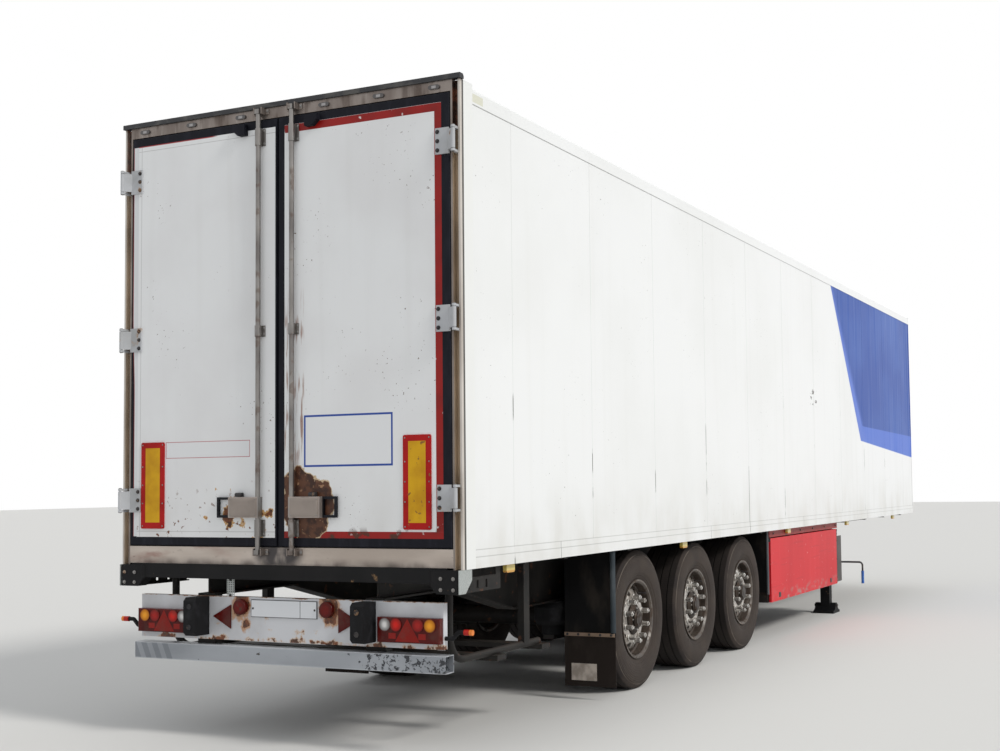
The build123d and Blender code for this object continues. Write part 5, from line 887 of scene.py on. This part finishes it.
# Painted shade: the barrel and the rim flange are darker than their paint. Painted highlight: the dish is
# lighter. Brake dust mottles all of them.
barrel_in_painted_shade = over("544b44", dust, "3a322c")
flange = over("5f574f", dust, "443c36")
dish_painted_highlight = over("d4d0cb", dust, "9c948b")
hub = over("3e3630", dust, "2a231e")
wheel_colour = over(barrel_in_painted_shade, rise(radius, 0.283, 0.286), flange)
wheel_colour = over(wheel_colour, rise(radius, 0.235, 0.225), dish_painted_highlight)
wheel_colour = over(wheel_colour, rise(radius, 0.128, 0.124), hub)
brown = mottle(point, 21.0, 0.5, 0.66, detail=8.0)
wheel_colour = over(wheel_colour, times(brown, 0.5), "4b3a2e")
behind = rise(reach, 0.985, 0.975)
wheel_colour = over(wheel_colour, behind, over("33302d", dust, "5a4232"))
gloss = spread(brown, 0.34, 0.8)
show(wheel_steel, wheel_colour, gloss, brown, depth=0.0012, strength=0.5)
polish = reckon("MULTIPLY_ADD", rise(radius, 0.24, 0.23), 0.6, 0.1)
feed(wheel_steel, polish, "Metallic")
nut_steel = paint("nut_steel", Metallic=0.8, Roughness=0.34)
point, x, y, z = spot(nut_steel)
tarnish = mottle(point, 30.0, 0.42, 0.62, detail=6.0)
nut_colour = over("d9d7d3", tarnish, "99938d")
show(nut_steel, nut_colour, spread(tarnish, 0.26, 0.55), tarnish, depth=0.0006)
for axle, ahead_x in axles.items():
    for side, way in sides:
        body = f"wheel_body_{axle}_{side}"
        dress(wheel_steel, f"wheel_{axle}_{side}")
        centre = Vector((rear_x + ahead_x, 0, wheel_z))
        out = Vector((0, way, 0))
        turns = [2 * pi * (i + 0.5) / 10 for i in range(10)]
        cap = fresh("cylinder", vertices=6, radius=0.0200, depth=0.043, location=(0, 0, 0.0215))
        pick(cap, lambda normal: normal.z > 0.9)
        bpy.ops.mesh.inset(thickness=0.004)
        bpy.ops.transform.translate(value=(0, 0, 0.003))
        bpy.ops.mesh.inset(thickness=0.003)
        bpy.ops.mesh.extrude_region_move(TRANSFORM_OT_translate={"value": (0, 0, 0.006)})
        done()
        collar = fresh("cylinder", vertices=18, radius=0.0265, depth=0.007, location=(0, 0, -0.0135))
        press(collar, (0, 0, 1), (0.004, 0.003))
        nut = weld(cap, collar)
        spots = [centre + Vector((0.1675 * cos(a), way * 1.1665, 0.1675 * sin(a))) for a in turns]
        lay(
            nut,
            [aim(p, out, pi / 6 - a * way) for p, a in zip(spots, turns)],
            f"wheel_nuts_{axle}_{side}",
            nut_steel,
            body,
        )
        turns = [2 * pi * i / 8 for i in range(8)]
        spots = [centre + Vector((0.0815 * cos(a), way * 1.1795, 0.0815 * sin(a))) for a in turns]
        lay(
            bolt(0.0048, 0.006),
            [aim(p, out, a) for p, a in zip(spots, turns)],
            f"hub_bolts_{axle}_{side}",
            nut_steel,
            body,
        )
        hub_face = fresh("cylinder", vertices=40, radius=0.058, depth=0.004, location=(0, 0, 0.002))
        press(hub_face, (0, 0, 1), (0.012, -0.0015), (0.022, 0.003))
        lay(
            hub_face,
            [aim(centre + Vector((0, way * 1.1995, 0)), out)],
            f"hub_cap_{axle}_{side}",
            wheel_steel,
            body,
        )
        valve = fresh("cylinder", vertices=12, radius=0.0055, depth=0.062, location=(0, 0, 0.031))
        pick(valve, lambda normal: normal.z > 0.9)
        bpy.ops.mesh.inset(thickness=0.001)
        bpy.ops.mesh.extrude_region_move(TRANSFORM_OT_translate={"value": (0, 0, 0.003)})
        bpy.ops.transform.resize(value=(1.5, 1.5, 1))
        bpy.ops.mesh.extrude_region_move(TRANSFORM_OT_translate={"value": (0, 0, 0.014)})
        bpy.ops.transform.resize(value=(0.8, 0.8, 1))
        done()
        spot_at = centre + Vector((0.246 * cos(0.9), way * 1.112, 0.246 * sin(0.9)))
        lay(valve, [aim(spot_at, (0.25, way, -0.1))], f"valve_{axle}_{side}", dark_bolt, body)


# Tyres: worn black rubber, grey-brown with road dust. The tread has four grooves with short
# sipes across its ribs, and the sidewalls have fine moulded rings and a shoulder of ribs.
def tyre_rubber(axle, ahead_x):
    """Rubber for the two tyres of one axle, with patterns that go round the axle."""
    material = paint("tyre_rubber_" + axle, Roughness=0.82, Specular_IOR_Level=0.3)
    point, x, y, z = spot(material)
    run = minus(x, rear_x + ahead_x)
    climb = minus(z, wheel_z)
    radius = away(run, climb)
    angle = reckon("ARCTAN2", climb, run)
    across = minus(unsigned(y), tyre_middle_y)
    tread = both(rise(radius, 0.520, 0.526), band(across, -0.156, 0.156, 0.003))
    sipe = zigzag(times(angle, 30.0), 0.5)
    shift = zigzag(reckon("MULTIPLY_ADD", angle, 30.0, 0.5), 0.5)
    cuts = rise(sipe, 0.10, 0.04)
    centre_cuts = both(rise(shift, 0.10, 0.04), band(across, -0.03, 0.03, 0.002))
    edge_cuts = both(cuts, rise(unsigned(across), 0.112, 0.116))
    side_cuts = both(edge_cuts, rise(radius, 0.498, 0.503))
    rings = zigzag(times(radius, 62.0), 0.5)
    wall = outside(rise(radius, 0.500, 0.506))
    fine = both(wall, rise(rings, 0.40, 0.46), rise(radius, 0.33, 0.335))
    rib = either(
        band(radius, 0.338, 0.343, 0.002),
        band(radius, 0.470, 0.474, 0.002),
        band(radius, 0.488, 0.490, 0.0015),
    )
    blocks = zigzag(times(angle, 36.0), 0.5)
    shoulder = both(band(radius, 0.476, 0.486, 0.001), rise(blocks, 0.22, 0.28))
    dust = mottle(point, 5.0, 0.34, 0.68, detail=6.0)
    rubber = over("272120", dust, "38302b")
    # Painted shade: the tread is darker than the sidewalls.
    rubber = over(rubber, times(tread, 0.6), "211d1b")
    rubber = over(rubber, times(wall, 0.35), "4c443e")
    # Painted shade: the sipes and the groove floors of the tread are darkened.
    rubber = over(rubber, either(cuts, centre_cuts), over(rubber, tread, "191716"))
    grooves = both(rise(radius, 0.5305, 0.528), band(across, -0.12, 0.12, 0.003), rise(radius, 0.51, 0.515))
    rubber = over(rubber, grooves, "1a1816")
    worn_edge = both(band(radius, 0.497, 0.502, 0.002), mottle(point, 6.0, 0.35, 0.6))
    rubber = over(rubber, times(worn_edge, 0.5), "7b7168")
    bead = band(radius, 0.300, 0.306, 0.002)
    rubber = over(rubber, times(bead, 0.4), "7b7168")
    height = plus(times(rib, 0.8), times(shoulder, 0.7))
    height = plus(height, times(fine, 0.35))
    height = minus(height, either(both(tread, either(edge_cuts, centre_cuts)), side_cuts))
    height = plus(height, times(dust, 0.12))
    return show(material, rubber, None, height, depth=0.004, strength=0.8)


for axle, ahead_x in axles.items():
    dress(tyre_rubber(axle, ahead_x), f"tyre_{axle}_left", f"tyre_{axle}_right")


# Chassis: welded rails, members, hangers, arms and axles in black paint, grey with road dust
# on every upper face and brown with rust in patches.
def road_black(name, colour_code, dust_code, roughness=0.6):
    """Black paint under dust that lies thicker on the faces that look up."""
    material = paint(name, Roughness=roughness, Specular_IOR_Level=0.25)
    point, x, y, z = spot(material)
    normal = material.node_tree.nodes.new("ShaderNodeNewGeometry").outputs["True Normal"]
    up = knot("SeparateXYZ", {0: normal}).outputs[2]
    patches = mottle(point, 5.0, 0.3, 0.7, detail=7.0)
    lying = reckon("MULTIPLY_ADD", rise(up, 0.3, 0.8), 0.6, times(patches, 0.35))
    colour = over(tone(colour_code), lying, tone(dust_code))
    rust = mottle(point, 13.0, 0.62, 0.68, detail=8.0)
    colour = over(colour, times(rust, 0.7), "5a3a28")
    return show(material, colour, None, patches, depth=0.001, strength=0.4)


# Painted shade, partly: these black and dust tones are darker than the paint itself, for the deep shade
# under the trailer.
chassis_black_and_shade = road_black("chassis_black_and_shade", "191817", "3c3733")
dress(
    chassis_black_and_shade,
    "chassis_rails",
    "cross_members",
    "axles",
    "suspension_hangers",
    "trailing_arms",
    "pallet_box",
    "storage_cradle",
)
plate_steel = road_black("plate_steel", "3a3836", "5f5347", 0.4)
dress(plate_steel, "coupler_plate")
floor_plank = paint("floor_plank", Roughness=0.5, Metallic=0.4)
point, x, y, z = spot(floor_plank)
ribs = rise(zigzag(times(y, 30.0), 0.5), 0.18, 0.24)
top = rise(z, 1.22, 1.232)
wet = mottle(point, 2.0, 0.35, 0.7)
floor_colour = over("4a4743", top, over("9b9a98", wet, "7d7b78"))
floor_colour = over(floor_colour, both(top, outside(ribs)), "45433f")
show(floor_plank, floor_colour, None, times(ribs, top), depth=0.006, strength=0.8)
dress(floor_plank, "floor_panel")

# Suspension fittings: U bolts clamp each axle to its arms, a brake chamber sits behind each
# wheel, a damper runs from the arm up to the rail, and steel pins close the hangers' eyes.
for axle, ahead_x in axles.items():
    for side, way in sides:
        middle = Vector((rear_x + ahead_x, way * 0.650, wheel_z))
        legs = []
        for step in (-0.034, 0.034):
            hoop = fresh(
                "circle", vertices=10, radius=0.008, location=(-0.082, step, 0), rotation=(0, 0, 0)
            )
            bpy.ops.object.mode_set(mode="EDIT")
            bpy.ops.mesh.select_all(action="SELECT")
            bpy.ops.mesh.spin(steps=14, angle=pi, center=(0, step, 0), axis=(0, 1, 0))
            bpy.ops.mesh.select_all(action="SELECT")
            bpy.ops.mesh.remove_doubles(threshold=0.0001)
            bpy.ops.mesh.fill_holes(sides=12)
            bpy.ops.mesh.normals_make_consistent(inside=False)
            done()
            legs.append(hoop)
            for run in (-0.082, 0.082):
                leg = fresh(
                    "cylinder", vertices=10, radius=0.008, depth=0.175, location=(run, step, -0.0875)
                )
                press(leg, (0, 0, -1), (0.002, 0.003))
                legs.append(leg)
                nut = bolt(0.013, 0.016)
                nut.data.transform(Matrix.Translation((run, step, -0.152)) @ Matrix.Rotation(pi, 4, "X"))
                legs.append(nut)
        pad = fresh("cube", size=1, location=(0, 0, -0.143), scale=(0.20, 0.10, 0.016))
        press(pad, (0, 0, -1), (0.012, 0.003))
        clamp = weld(*legs, pad)
        lay(clamp, [Matrix.Translation(middle)], f"axle_clamps_{axle}_{side}", chassis_black_and_shade)
        chamber = fresh("cylinder", vertices=28, radius=0.082, depth=0.05, location=(0, 0, 0.025))
        pick(chamber, lambda normal: normal.z > 0.9)
        bpy.ops.mesh.extrude_region_move(TRANSFORM_OT_translate={"value": (0, 0, 0.004)})
        bpy.ops.transform.resize(value=(1.1, 1.1, 1))
        bpy.ops.mesh.extrude_region_move(TRANSFORM_OT_translate={"value": (0, 0, 0.012)})
        bpy.ops.mesh.extrude_region_move(TRANSFORM_OT_translate={"value": (0, 0, 0.004)})
        bpy.ops.transform.resize(value=(0.91, 0.91, 1))
        bpy.ops.mesh.extrude_region_move(TRANSFORM_OT_translate={"value": (0, 0, 0.045)})
        bpy.ops.mesh.extrude_region_move(TRANSFORM_OT_translate={"value": (0, 0, 0.02)})
        bpy.ops.transform.resize(value=(0.7, 0.7, 1))
        done()
        neck = fresh("cylinder", vertices=16, radius=0.022, depth=0.11, location=(0, 0, -0.05))
        pick(neck, lambda normal: normal.z < -0.9)
        bpy.ops.mesh.extrude_region_move(TRANSFORM_OT_translate={"value": (0, 0, -0.012)})
        bpy.ops.transform.resize(value=(1.8, 1.8, 1))
        done()
        whole = weld(chamber, neck)
        place = aim((rear_x + ahead_x + 0.165, way * 0.765, 0.560), (0.15, -way, 0.05))
        lay(whole, [place], f"brake_chamber_{axle}_{side}", chassis_black_and_shade)
        foot = Vector((rear_x + ahead_x - 0.13, way * 0.585, 0.47))
        head = Vector((rear_x + ahead_x + 0.18, way * 0.585, 0.72))
        reach = (head - foot).length
        damper = fresh(
            "cylinder", vertices=20, radius=0.026, depth=reach * 0.52, location=(0, 0, reach * 0.28)
        )
        pick(damper, lambda normal: normal.z > 0.9)
        bpy.ops.mesh.inset(thickness=0.008)
        bpy.ops.mesh.extrude_region_move(TRANSFORM_OT_translate={"value": (0, 0, reach * 0.42)})
        done()
        sleeve = fresh(
            "cylinder", vertices=20, radius=0.033, depth=reach * 0.42, location=(0, 0, reach * 0.72)
        )
        press(sleeve, (0, 0, 1), (0.004, 0), ends=True)
        eyes = []
        for at in (0.0, reach):
            eye_ring = fresh(
                "cylinder",
                vertices=18,
                radius=0.027,
                depth=0.05,
                location=(0, 0, at),
                rotation=(pi / 2, 0, 0),
            )
            pick(eye_ring, lambda normal: abs(normal.y) > 0.9)
            bpy.ops.mesh.inset(thickness=0.01)
            bpy.ops.mesh.extrude_region_move(TRANSFORM_OT_translate={"value": (0, 0, 0)})
            done()
            eyes.append(eye_ring)
        whole = weld(damper, sleeve, *eyes)
        lay(whole, [aim(foot, head - foot)], f"damper_{axle}_{side}", chassis_black_and_shade)
        pin_at = Vector((rear_x + ahead_x + 0.5, way * 0.705, 0.432))
        lay(bolt(0.026, 0.02), [aim(pin_at, (0, way, 0))], f"hanger_pin_{axle}_{side}", chassis_black_and_shade)

# Mudguards and flaps: black rubber and plastic sheets. A steel strip with five bolts clamps each
# rear flap, which has a blank pale label. A grey tube stiffens the outer edge of the front sheet.
grey_tube = road_black("grey_tube", "50545a", "6d6a66", 0.5)
guard_rubber = paint("guard_rubber", Roughness=0.75, Specular_IOR_Level=0.12)
point, x, y, z = spot(guard_rubber)
scuffed = mottle(point, 7.0, 0.45, 0.75, stretch=(1, 1, 0.5))
sheet = over("111112", rise(z, 0.478, 0.474), "26201d")
sheet = over(sheet, times(scuffed, 0.6), "3a342f")
pole = both(rise(unsigned(y), 1.2435, 1.2455), rise(z, 0.497, 0.499), rise(x, rear_x + 2.6, rear_x + 2.5))
sheet = over(sheet, pole, over("363d42", scuffed, "50565a"))
show(guard_rubber, sheet, None, scuffed, depth=0.001)
dress(guard_rubber, "mudguards")
label_paint = paint("label_paint", Roughness=0.6)
point, x, y, z = spot(label_paint)
grime = mottle(point, 14.0, 0.35, 0.65)
show(label_paint, over("b9aea4", grime, "8f857b"), None, grime, depth=0.0006)
strip_steel = chipped("strip_steel", "8d7868", "75614f", 0.0, 0.6, 0.2)
for side, way in sides:
    strip = fresh(
        "cube", size=1, location=(rear_x + 2.2465, way * 1.0785, 0.481), scale=(0.004, 0.408, 0.026)
    )
    press(strip, (-1, 0, 0), (0.002, 0.001))
    settle(strip, "flap_strip_" + side, strip_steel)
    spots = [(rear_x + 2.2437, way * (0.90 + 0.089 * i), 0.481) for i in range(5)]
    row(bolt(0.0065, 0.006), spots, back, "flap_bolts_" + side, dark_bolt, spin=1.0)
    label = fresh(
        "grid",
        x_subdivisions=6,
        y_subdivisions=4,
        size=1,
        location=(rear_x + 2.2525, way * 1.03, 0.205),
        rotation=(0, -pi / 2, 0),
        scale=(0.125, 0.205, 1),
    )
    thick = label.modifiers.new("thick", "SOLIDIFY")
    thick.thickness = 0.0012
    bpy.ops.object.modifier_apply(modifier="thick")
    settle(label, "flap_label_" + side, label_paint)
    tube = fresh(
        "cylinder", vertices=16, radius=0.014, depth=0.654, location=(rear_x + 6.257, way * 1.222, 0.785)
    )
    press(tube, (0, 0, 1), (0.003, 0), ends=True)
    settle(soften(tube, 0.0015, 1), "screen_tube_front_" + side, grey_tube)

# Pallet box: red painted steel flaps and fascias, faded and scraped, with pressed ribs round
# the flap's edge, two spring latches low on each flap, and dark end posts with rubber caps. A
# thin dark plate is bolted to each post and shows as a strip ahead of the flap.
red_paint = paint("red_paint", Roughness=0.45, Specular_IOR_Level=0.25)
point, x, y, z = spot(red_paint)
red = over("d3202b", mottle(point, 1.6, 0.35, 0.7, stretch=(1, 1, 0.3)), "c71b26")
runs = mottle(point, 3.0, 0.5, 0.8, stretch=(5, 1, 0.3))
red = over(red, times(runs, 0.3), "db4248")
# Painted shadow: above z 1.02 the flaps and fascia turn darker red, where the body's lower edge casts its
# shadow.
red = over(red, rise(z, 1.02, 1.03), over("8d2420", runs, "6e2019"))
low = both(mottle(point, 8.0, 0.5, 0.66, stretch=(1, 1, 2), detail=7.0), rise(z, 0.52, 0.37))
red = over(red, times(low, 0.8), "9c8f8a")
chips = mottle(point, 34.0, 0.69, 0.715, stretch=(1, 1, 0.6), detail=3.0)
red = over(red, chips, "e2b9b5")
scrape = both(mottle(point, 6.0, 0.62, 0.66, stretch=(0.35, 1, 6)), band(z, 0.55, 0.95, 0.1))
red = over(red, times(scrape, 0.25), "a8262c")
wave = mottle(point, 1.2, 0.2, 0.8, stretch=(1, 1, 0.3), detail=1.0)
show(red_paint, red, None, wave, depth=0.006, strength=0.35)
dress(red_paint, "pallet_door_left", "pallet_door_right", "pallet_box_fascia")
flap_y = 1.237
post_paint = chipped("post_paint", "454240", "575351", -0.06, 0.6)
for side, way in sides:
    body = "pallet_flap_" + side
    out = (0, way, 0)
    spots = [(rear_x + 6.36 + 0.26 * i, way * flap_y, 0.386) for i in range(11)]
    row(stud(0.006, 0.003), spots, out, "flap_rivets_" + side, red_paint, body)
    for name, at in (("rear", 6.62), ("front", 8.70)):
        plate = fresh("cube", size=1, location=(rear_x + at, way * 1.2385, 0.43), scale=(0.07, 0.003, 0.05))
        press(plate, (0, way, 0), (0.008, 0.002), (0.010, -0.0015))
        settle(soften(plate, 0.001), f"flap_latch_{name}_{side}", dark_bolt, body)
    spots = [(rear_x + 6.42 + 0.505 * i, way * flap_y, 1.062) for i in range(6)]
    row(bolt(0.008, 0.007), spots, out, "fascia_bolts_" + side, dark_bolt, spin=1.0)
    cap = fresh(
        "cylinder",
        vertices=32,
        radius=0.0405,
        depth=0.118,
        location=(rear_x + 9.0865, way * 1.1675, 0.955),
        rotation=(0, pi / 2, 0),
    )
    press(cap, (1, 0, 0), (0.008, 0), (0.006, 0), ends=True)
    settle(soften(cap, 0.004), "post_cap_" + side, buffer_rubber)
    post = fresh(
        "cube", size=1, location=(rear_x + 9.188, way * 1.2065, 0.655), scale=(0.285, 0.003, 0.545)
    )
    press(post, (0, way, 0), (0.010, 0.003))
    settle(soften(post, 0.0015), "post_plate_" + side, post_paint)
    spots = [(rear_x + 9.09, way * 1.2105, z) for z in (0.44, 0.655, 0.87)]
    row(bolt(0.008, 0.007), spots, out, "post_plate_bolts_" + side, dark_bolt, spin=1.0)

# Landing legs: bolts through the mounts, pins in the tilting feet, a cover on the gearbox and
# the crank, whose grip has a blue plastic sleeve.
leg_x = rear_x + 9.25
gearbox_x = rear_x + 9.415
for side, way in sides:
    spots = [(leg_x + step, way * 0.732, z) for step in (-0.04, 0.04, 0.10) for z in (0.76, 0.86, 0.96)]
    spots = [p for p in spots if p[0] - leg_x < 0.09 or p[2] > 0.84]
    row(bolt(0.012, 0.011), spots, (0, way, 0), "leg_bolts_" + side, dark_bolt, spin=1.0)
    pin = fresh(
        "cylinder",
        vertices=20,
        radius=0.018,
        depth=0.282,
        location=(leg_x, way * 1.03, 0.088),
        rotation=(pi / 2, 0, 0),
    )
    press(pin, (0, 1, 0), (0.004, 0), ends=True)
    settle(soften(pin, 0.002), "foot_pin_" + side, dark_bolt)
    collar = fresh("cube", size=1, location=(leg_x, way * 1.03, 0.436), scale=(0.156, 0.156, 0.024))
    press(collar, (0, 0, -1), (0.012, 0.006))
    settle(soften(collar, 0.003), "leg_collar_" + side, beam_paint)
cover = fresh("cube", size=1, location=(gearbox_x, -1.102, 0.600), scale=(0.175, 0.008, 0.150))
press(cover, (0, -1, 0), (0.012, 0.005))
settle(soften(cover, 0.003), "gearbox_cover", beam_paint)
spots = [(gearbox_x + a, -1.106, 0.6 + b) for a in (-0.075, 0.075) for b in (-0.063, 0.063)]
row(bolt(0.006, 0.006), spots, (0, -1, 0), "gearbox_bolts", grey_bolt, spin=1.0)
crank_paint = paint("crank_paint", Roughness=0.42)
point, x, y, z = spot(crank_paint)
grip = both(rise(z, 0.498, 0.494), rise(y, -1.417, -1.419))
wear = mottle(point, 24.0, 0.5, 0.66)
crank_colour = over(over("2b2a2c", wear, "4b4644"), grip, over("2f63b4", wear, "5b83bd"))
show(crank_paint, crank_colour, None, wear, depth=0.0008)
dress(crank_paint, "landing_crank")

# Tanks: a bare aluminium fuel tank in steel straps, with its filler cap, and two black air
# tanks with drain plugs.
tank_skin = paint("tank_skin", Metallic=0.85, Roughness=0.36)
point, x, y, z = spot(tank_skin)
cloud = mottle(point, 4.0, 0.35, 0.7, stretch=(0.5, 1, 1))
tank_colour = over("b9b8b5", cloud, "8f8c88")
tank_colour = over(tank_colour, times(rise(z, 0.75, 0.56), 0.6), "5f574e")
straps = either(*[band(x, rear_x + a - 0.026, rear_x + a + 0.026, 0.001) for a in (10.24, 10.68)])
tank_colour = over(tank_colour, straps, "3a3836")
show(tank_skin, tank_colour, spread(cloud, 0.3, 0.5), cloud, depth=0.001)
dress(tank_skin, "fuel_tank")
filler = fresh("cylinder", vertices=28, radius=0.042, depth=0.03, location=(0, 0, 0.015))
pick(filler, lambda normal: normal.z > 0.9)
bpy.ops.mesh.inset(thickness=0.006)
bpy.ops.transform.translate(value=(0, 0, 0.004))
bpy.ops.mesh.inset(thickness=0.014)
bpy.ops.mesh.extrude_region_move(TRANSFORM_OT_translate={"value": (0, 0, 0.010)})
done()
slope = Vector((0, 0.62, 0.78)).normalized()
lay(filler, [aim(Vector((rear_x + 10.46, 0.985, 0.801)) + slope * 0.246, slope)], "fuel_filler", grey_bolt)
spots = [(rear_x + 9.70, way * 0.42, 0.7795) for way in (-1, 1)]
row(bolt(0.014, 0.018), spots, (0, 0, -1), "air_tank_drains", grey_bolt)

# Cooling unit: a white moulded housing with dark louvres over the radiator, two doors with
# quarter turn latches below it and two round fan guards on its sloped top.
unit_skin = paint("unit_skin", Roughness=0.4, Coat_Weight=0.2)
point, x, y, z = spot(unit_skin)
runs = mottle(point, 1.4, 0.5, 0.8, stretch=(1, 7, 0.4))
unit_colour = over("dfe0df", times(runs, 0.4), "bdbbb4")
face = rise(x, front_x + 0.40, front_x + 0.42)
joint = either(
    band(z, 1.905, 1.911), band(z, 2.875, 2.881), both(band(y, -0.003, 0.003), rise(z, 2.88, 2.875))
)
unit_colour = over(unit_colour, both(face, joint), "2c2c2c")
show(unit_skin, unit_colour, None, runs, depth=0.001)
dress(unit_skin, "refrigeration_unit")
louvre_plastic = paint("louvre_plastic", Roughness=0.5)
point, x, y, z = spot(louvre_plastic)
dust = mottle(point, 12.0, 0.4, 0.7)
show(louvre_plastic, over("232427", dust, "46443f"), None, dust, depth=0.001)
nose = front_x + 0.43
surround = fresh("cube", size=1, location=(nose - 0.001, 0, 3.24), scale=(0.008, 1.44, 0.60))
press(surround, (1, 0, 0), (0.03, -0.005))
settle(soften(surround, 0.002), "louvre_surround", louvre_plastic)
slat = fresh("cube", size=1, location=(0, 0, 0), scale=(0.010, 1.37, 0.022))
pick(slat, lambda normal: normal.x > 0.9)
bpy.ops.transform.translate(value=(0, 0, -0.012))
bpy.ops.mesh.inset(thickness=0.002)
done()
places = [Matrix.Translation((nose + 0.001, 0, 2.975 + 0.0535 * i)) for i in range(11)]
lay(slat, places, "louvre_slats", louvre_plastic)
latch = fresh("cube", size=1, location=(0, 0, 0.003), scale=(0.05, 0.09, 0.006))
press(latch, (0, 0, 1), (0.008, 0.003), (0.009, -0.003))
spots = [(nose, y, z) for y in (-0.62, 0.62) for z in (2.05, 2.72)]
row(soften(latch, 0.001), spots, (1, 0, 0), "unit_latches", louvre_plastic)
vent = fresh("cylinder", vertices=40, radius=0.30, depth=0.010, location=(0, 0, 0.004))
pick(vent, lambda normal: normal.z > 0.9)
for width, lift in (
    (0.025, -0.004), (0.045, 0.003), (0.02, -0.003), (0.045, 0.003), (0.02, -0.003), (0.045, 0.003)
):
    bpy.ops.mesh.inset(thickness=width)
    bpy.ops.transform.translate(value=(0, 0, lift))
done()
slope = Vector((1, 0, 1)).normalized()
spots = [Vector((nose - 0.075, y, 3.685)) for y in (-0.45, 0.45)]
vent.data.transform(Matrix.Diagonal((0.30, 1, 1, 1)))
lay(
    vent,
    [Matrix.Translation(p) @ Matrix.Rotation(pi / 4, 4, "Y") for p in spots],
    "unit_fan_guards",
    louvre_plastic,
)

# Service couplings on the front wall: aluminium bodies with coloured plastic caps.
coupling_paint = paint("coupling_paint", Roughness=0.4)
point, x, y, z = spot(coupling_paint)
cap = rise(x, front_x + 0.022, front_x + 0.024)
caps = "27282b"
for y_at, code in (
    (-0.27, "b3282b"), (-0.135, "2a2b2e"), (0.0, "d8b02c"), (0.135, "2a2b2e"), (0.27, "3263b0")
):
    caps = over(caps, band(y, y_at - 0.06, y_at + 0.06), tone(code))
wear = mottle(point, 30.0, 0.45, 0.66)
coupling_colour = over(over("a5a6a6", wear, "85827d"), cap, caps)
show(coupling_paint, coupling_colour, None, wear, depth=0.0008)
dress(coupling_paint, "line_couplings")
spots = [
    (front_x + 0.009, y + a, 1.33 + b)
    for y in (-0.27, -0.135, 0, 0.135, 0.27) for a, b in ((0.029, 0), (-0.029, 0))
]
row(stud(0.004, 0.003), spots, (1, 0, 0), "coupling_screws", grey_bolt)
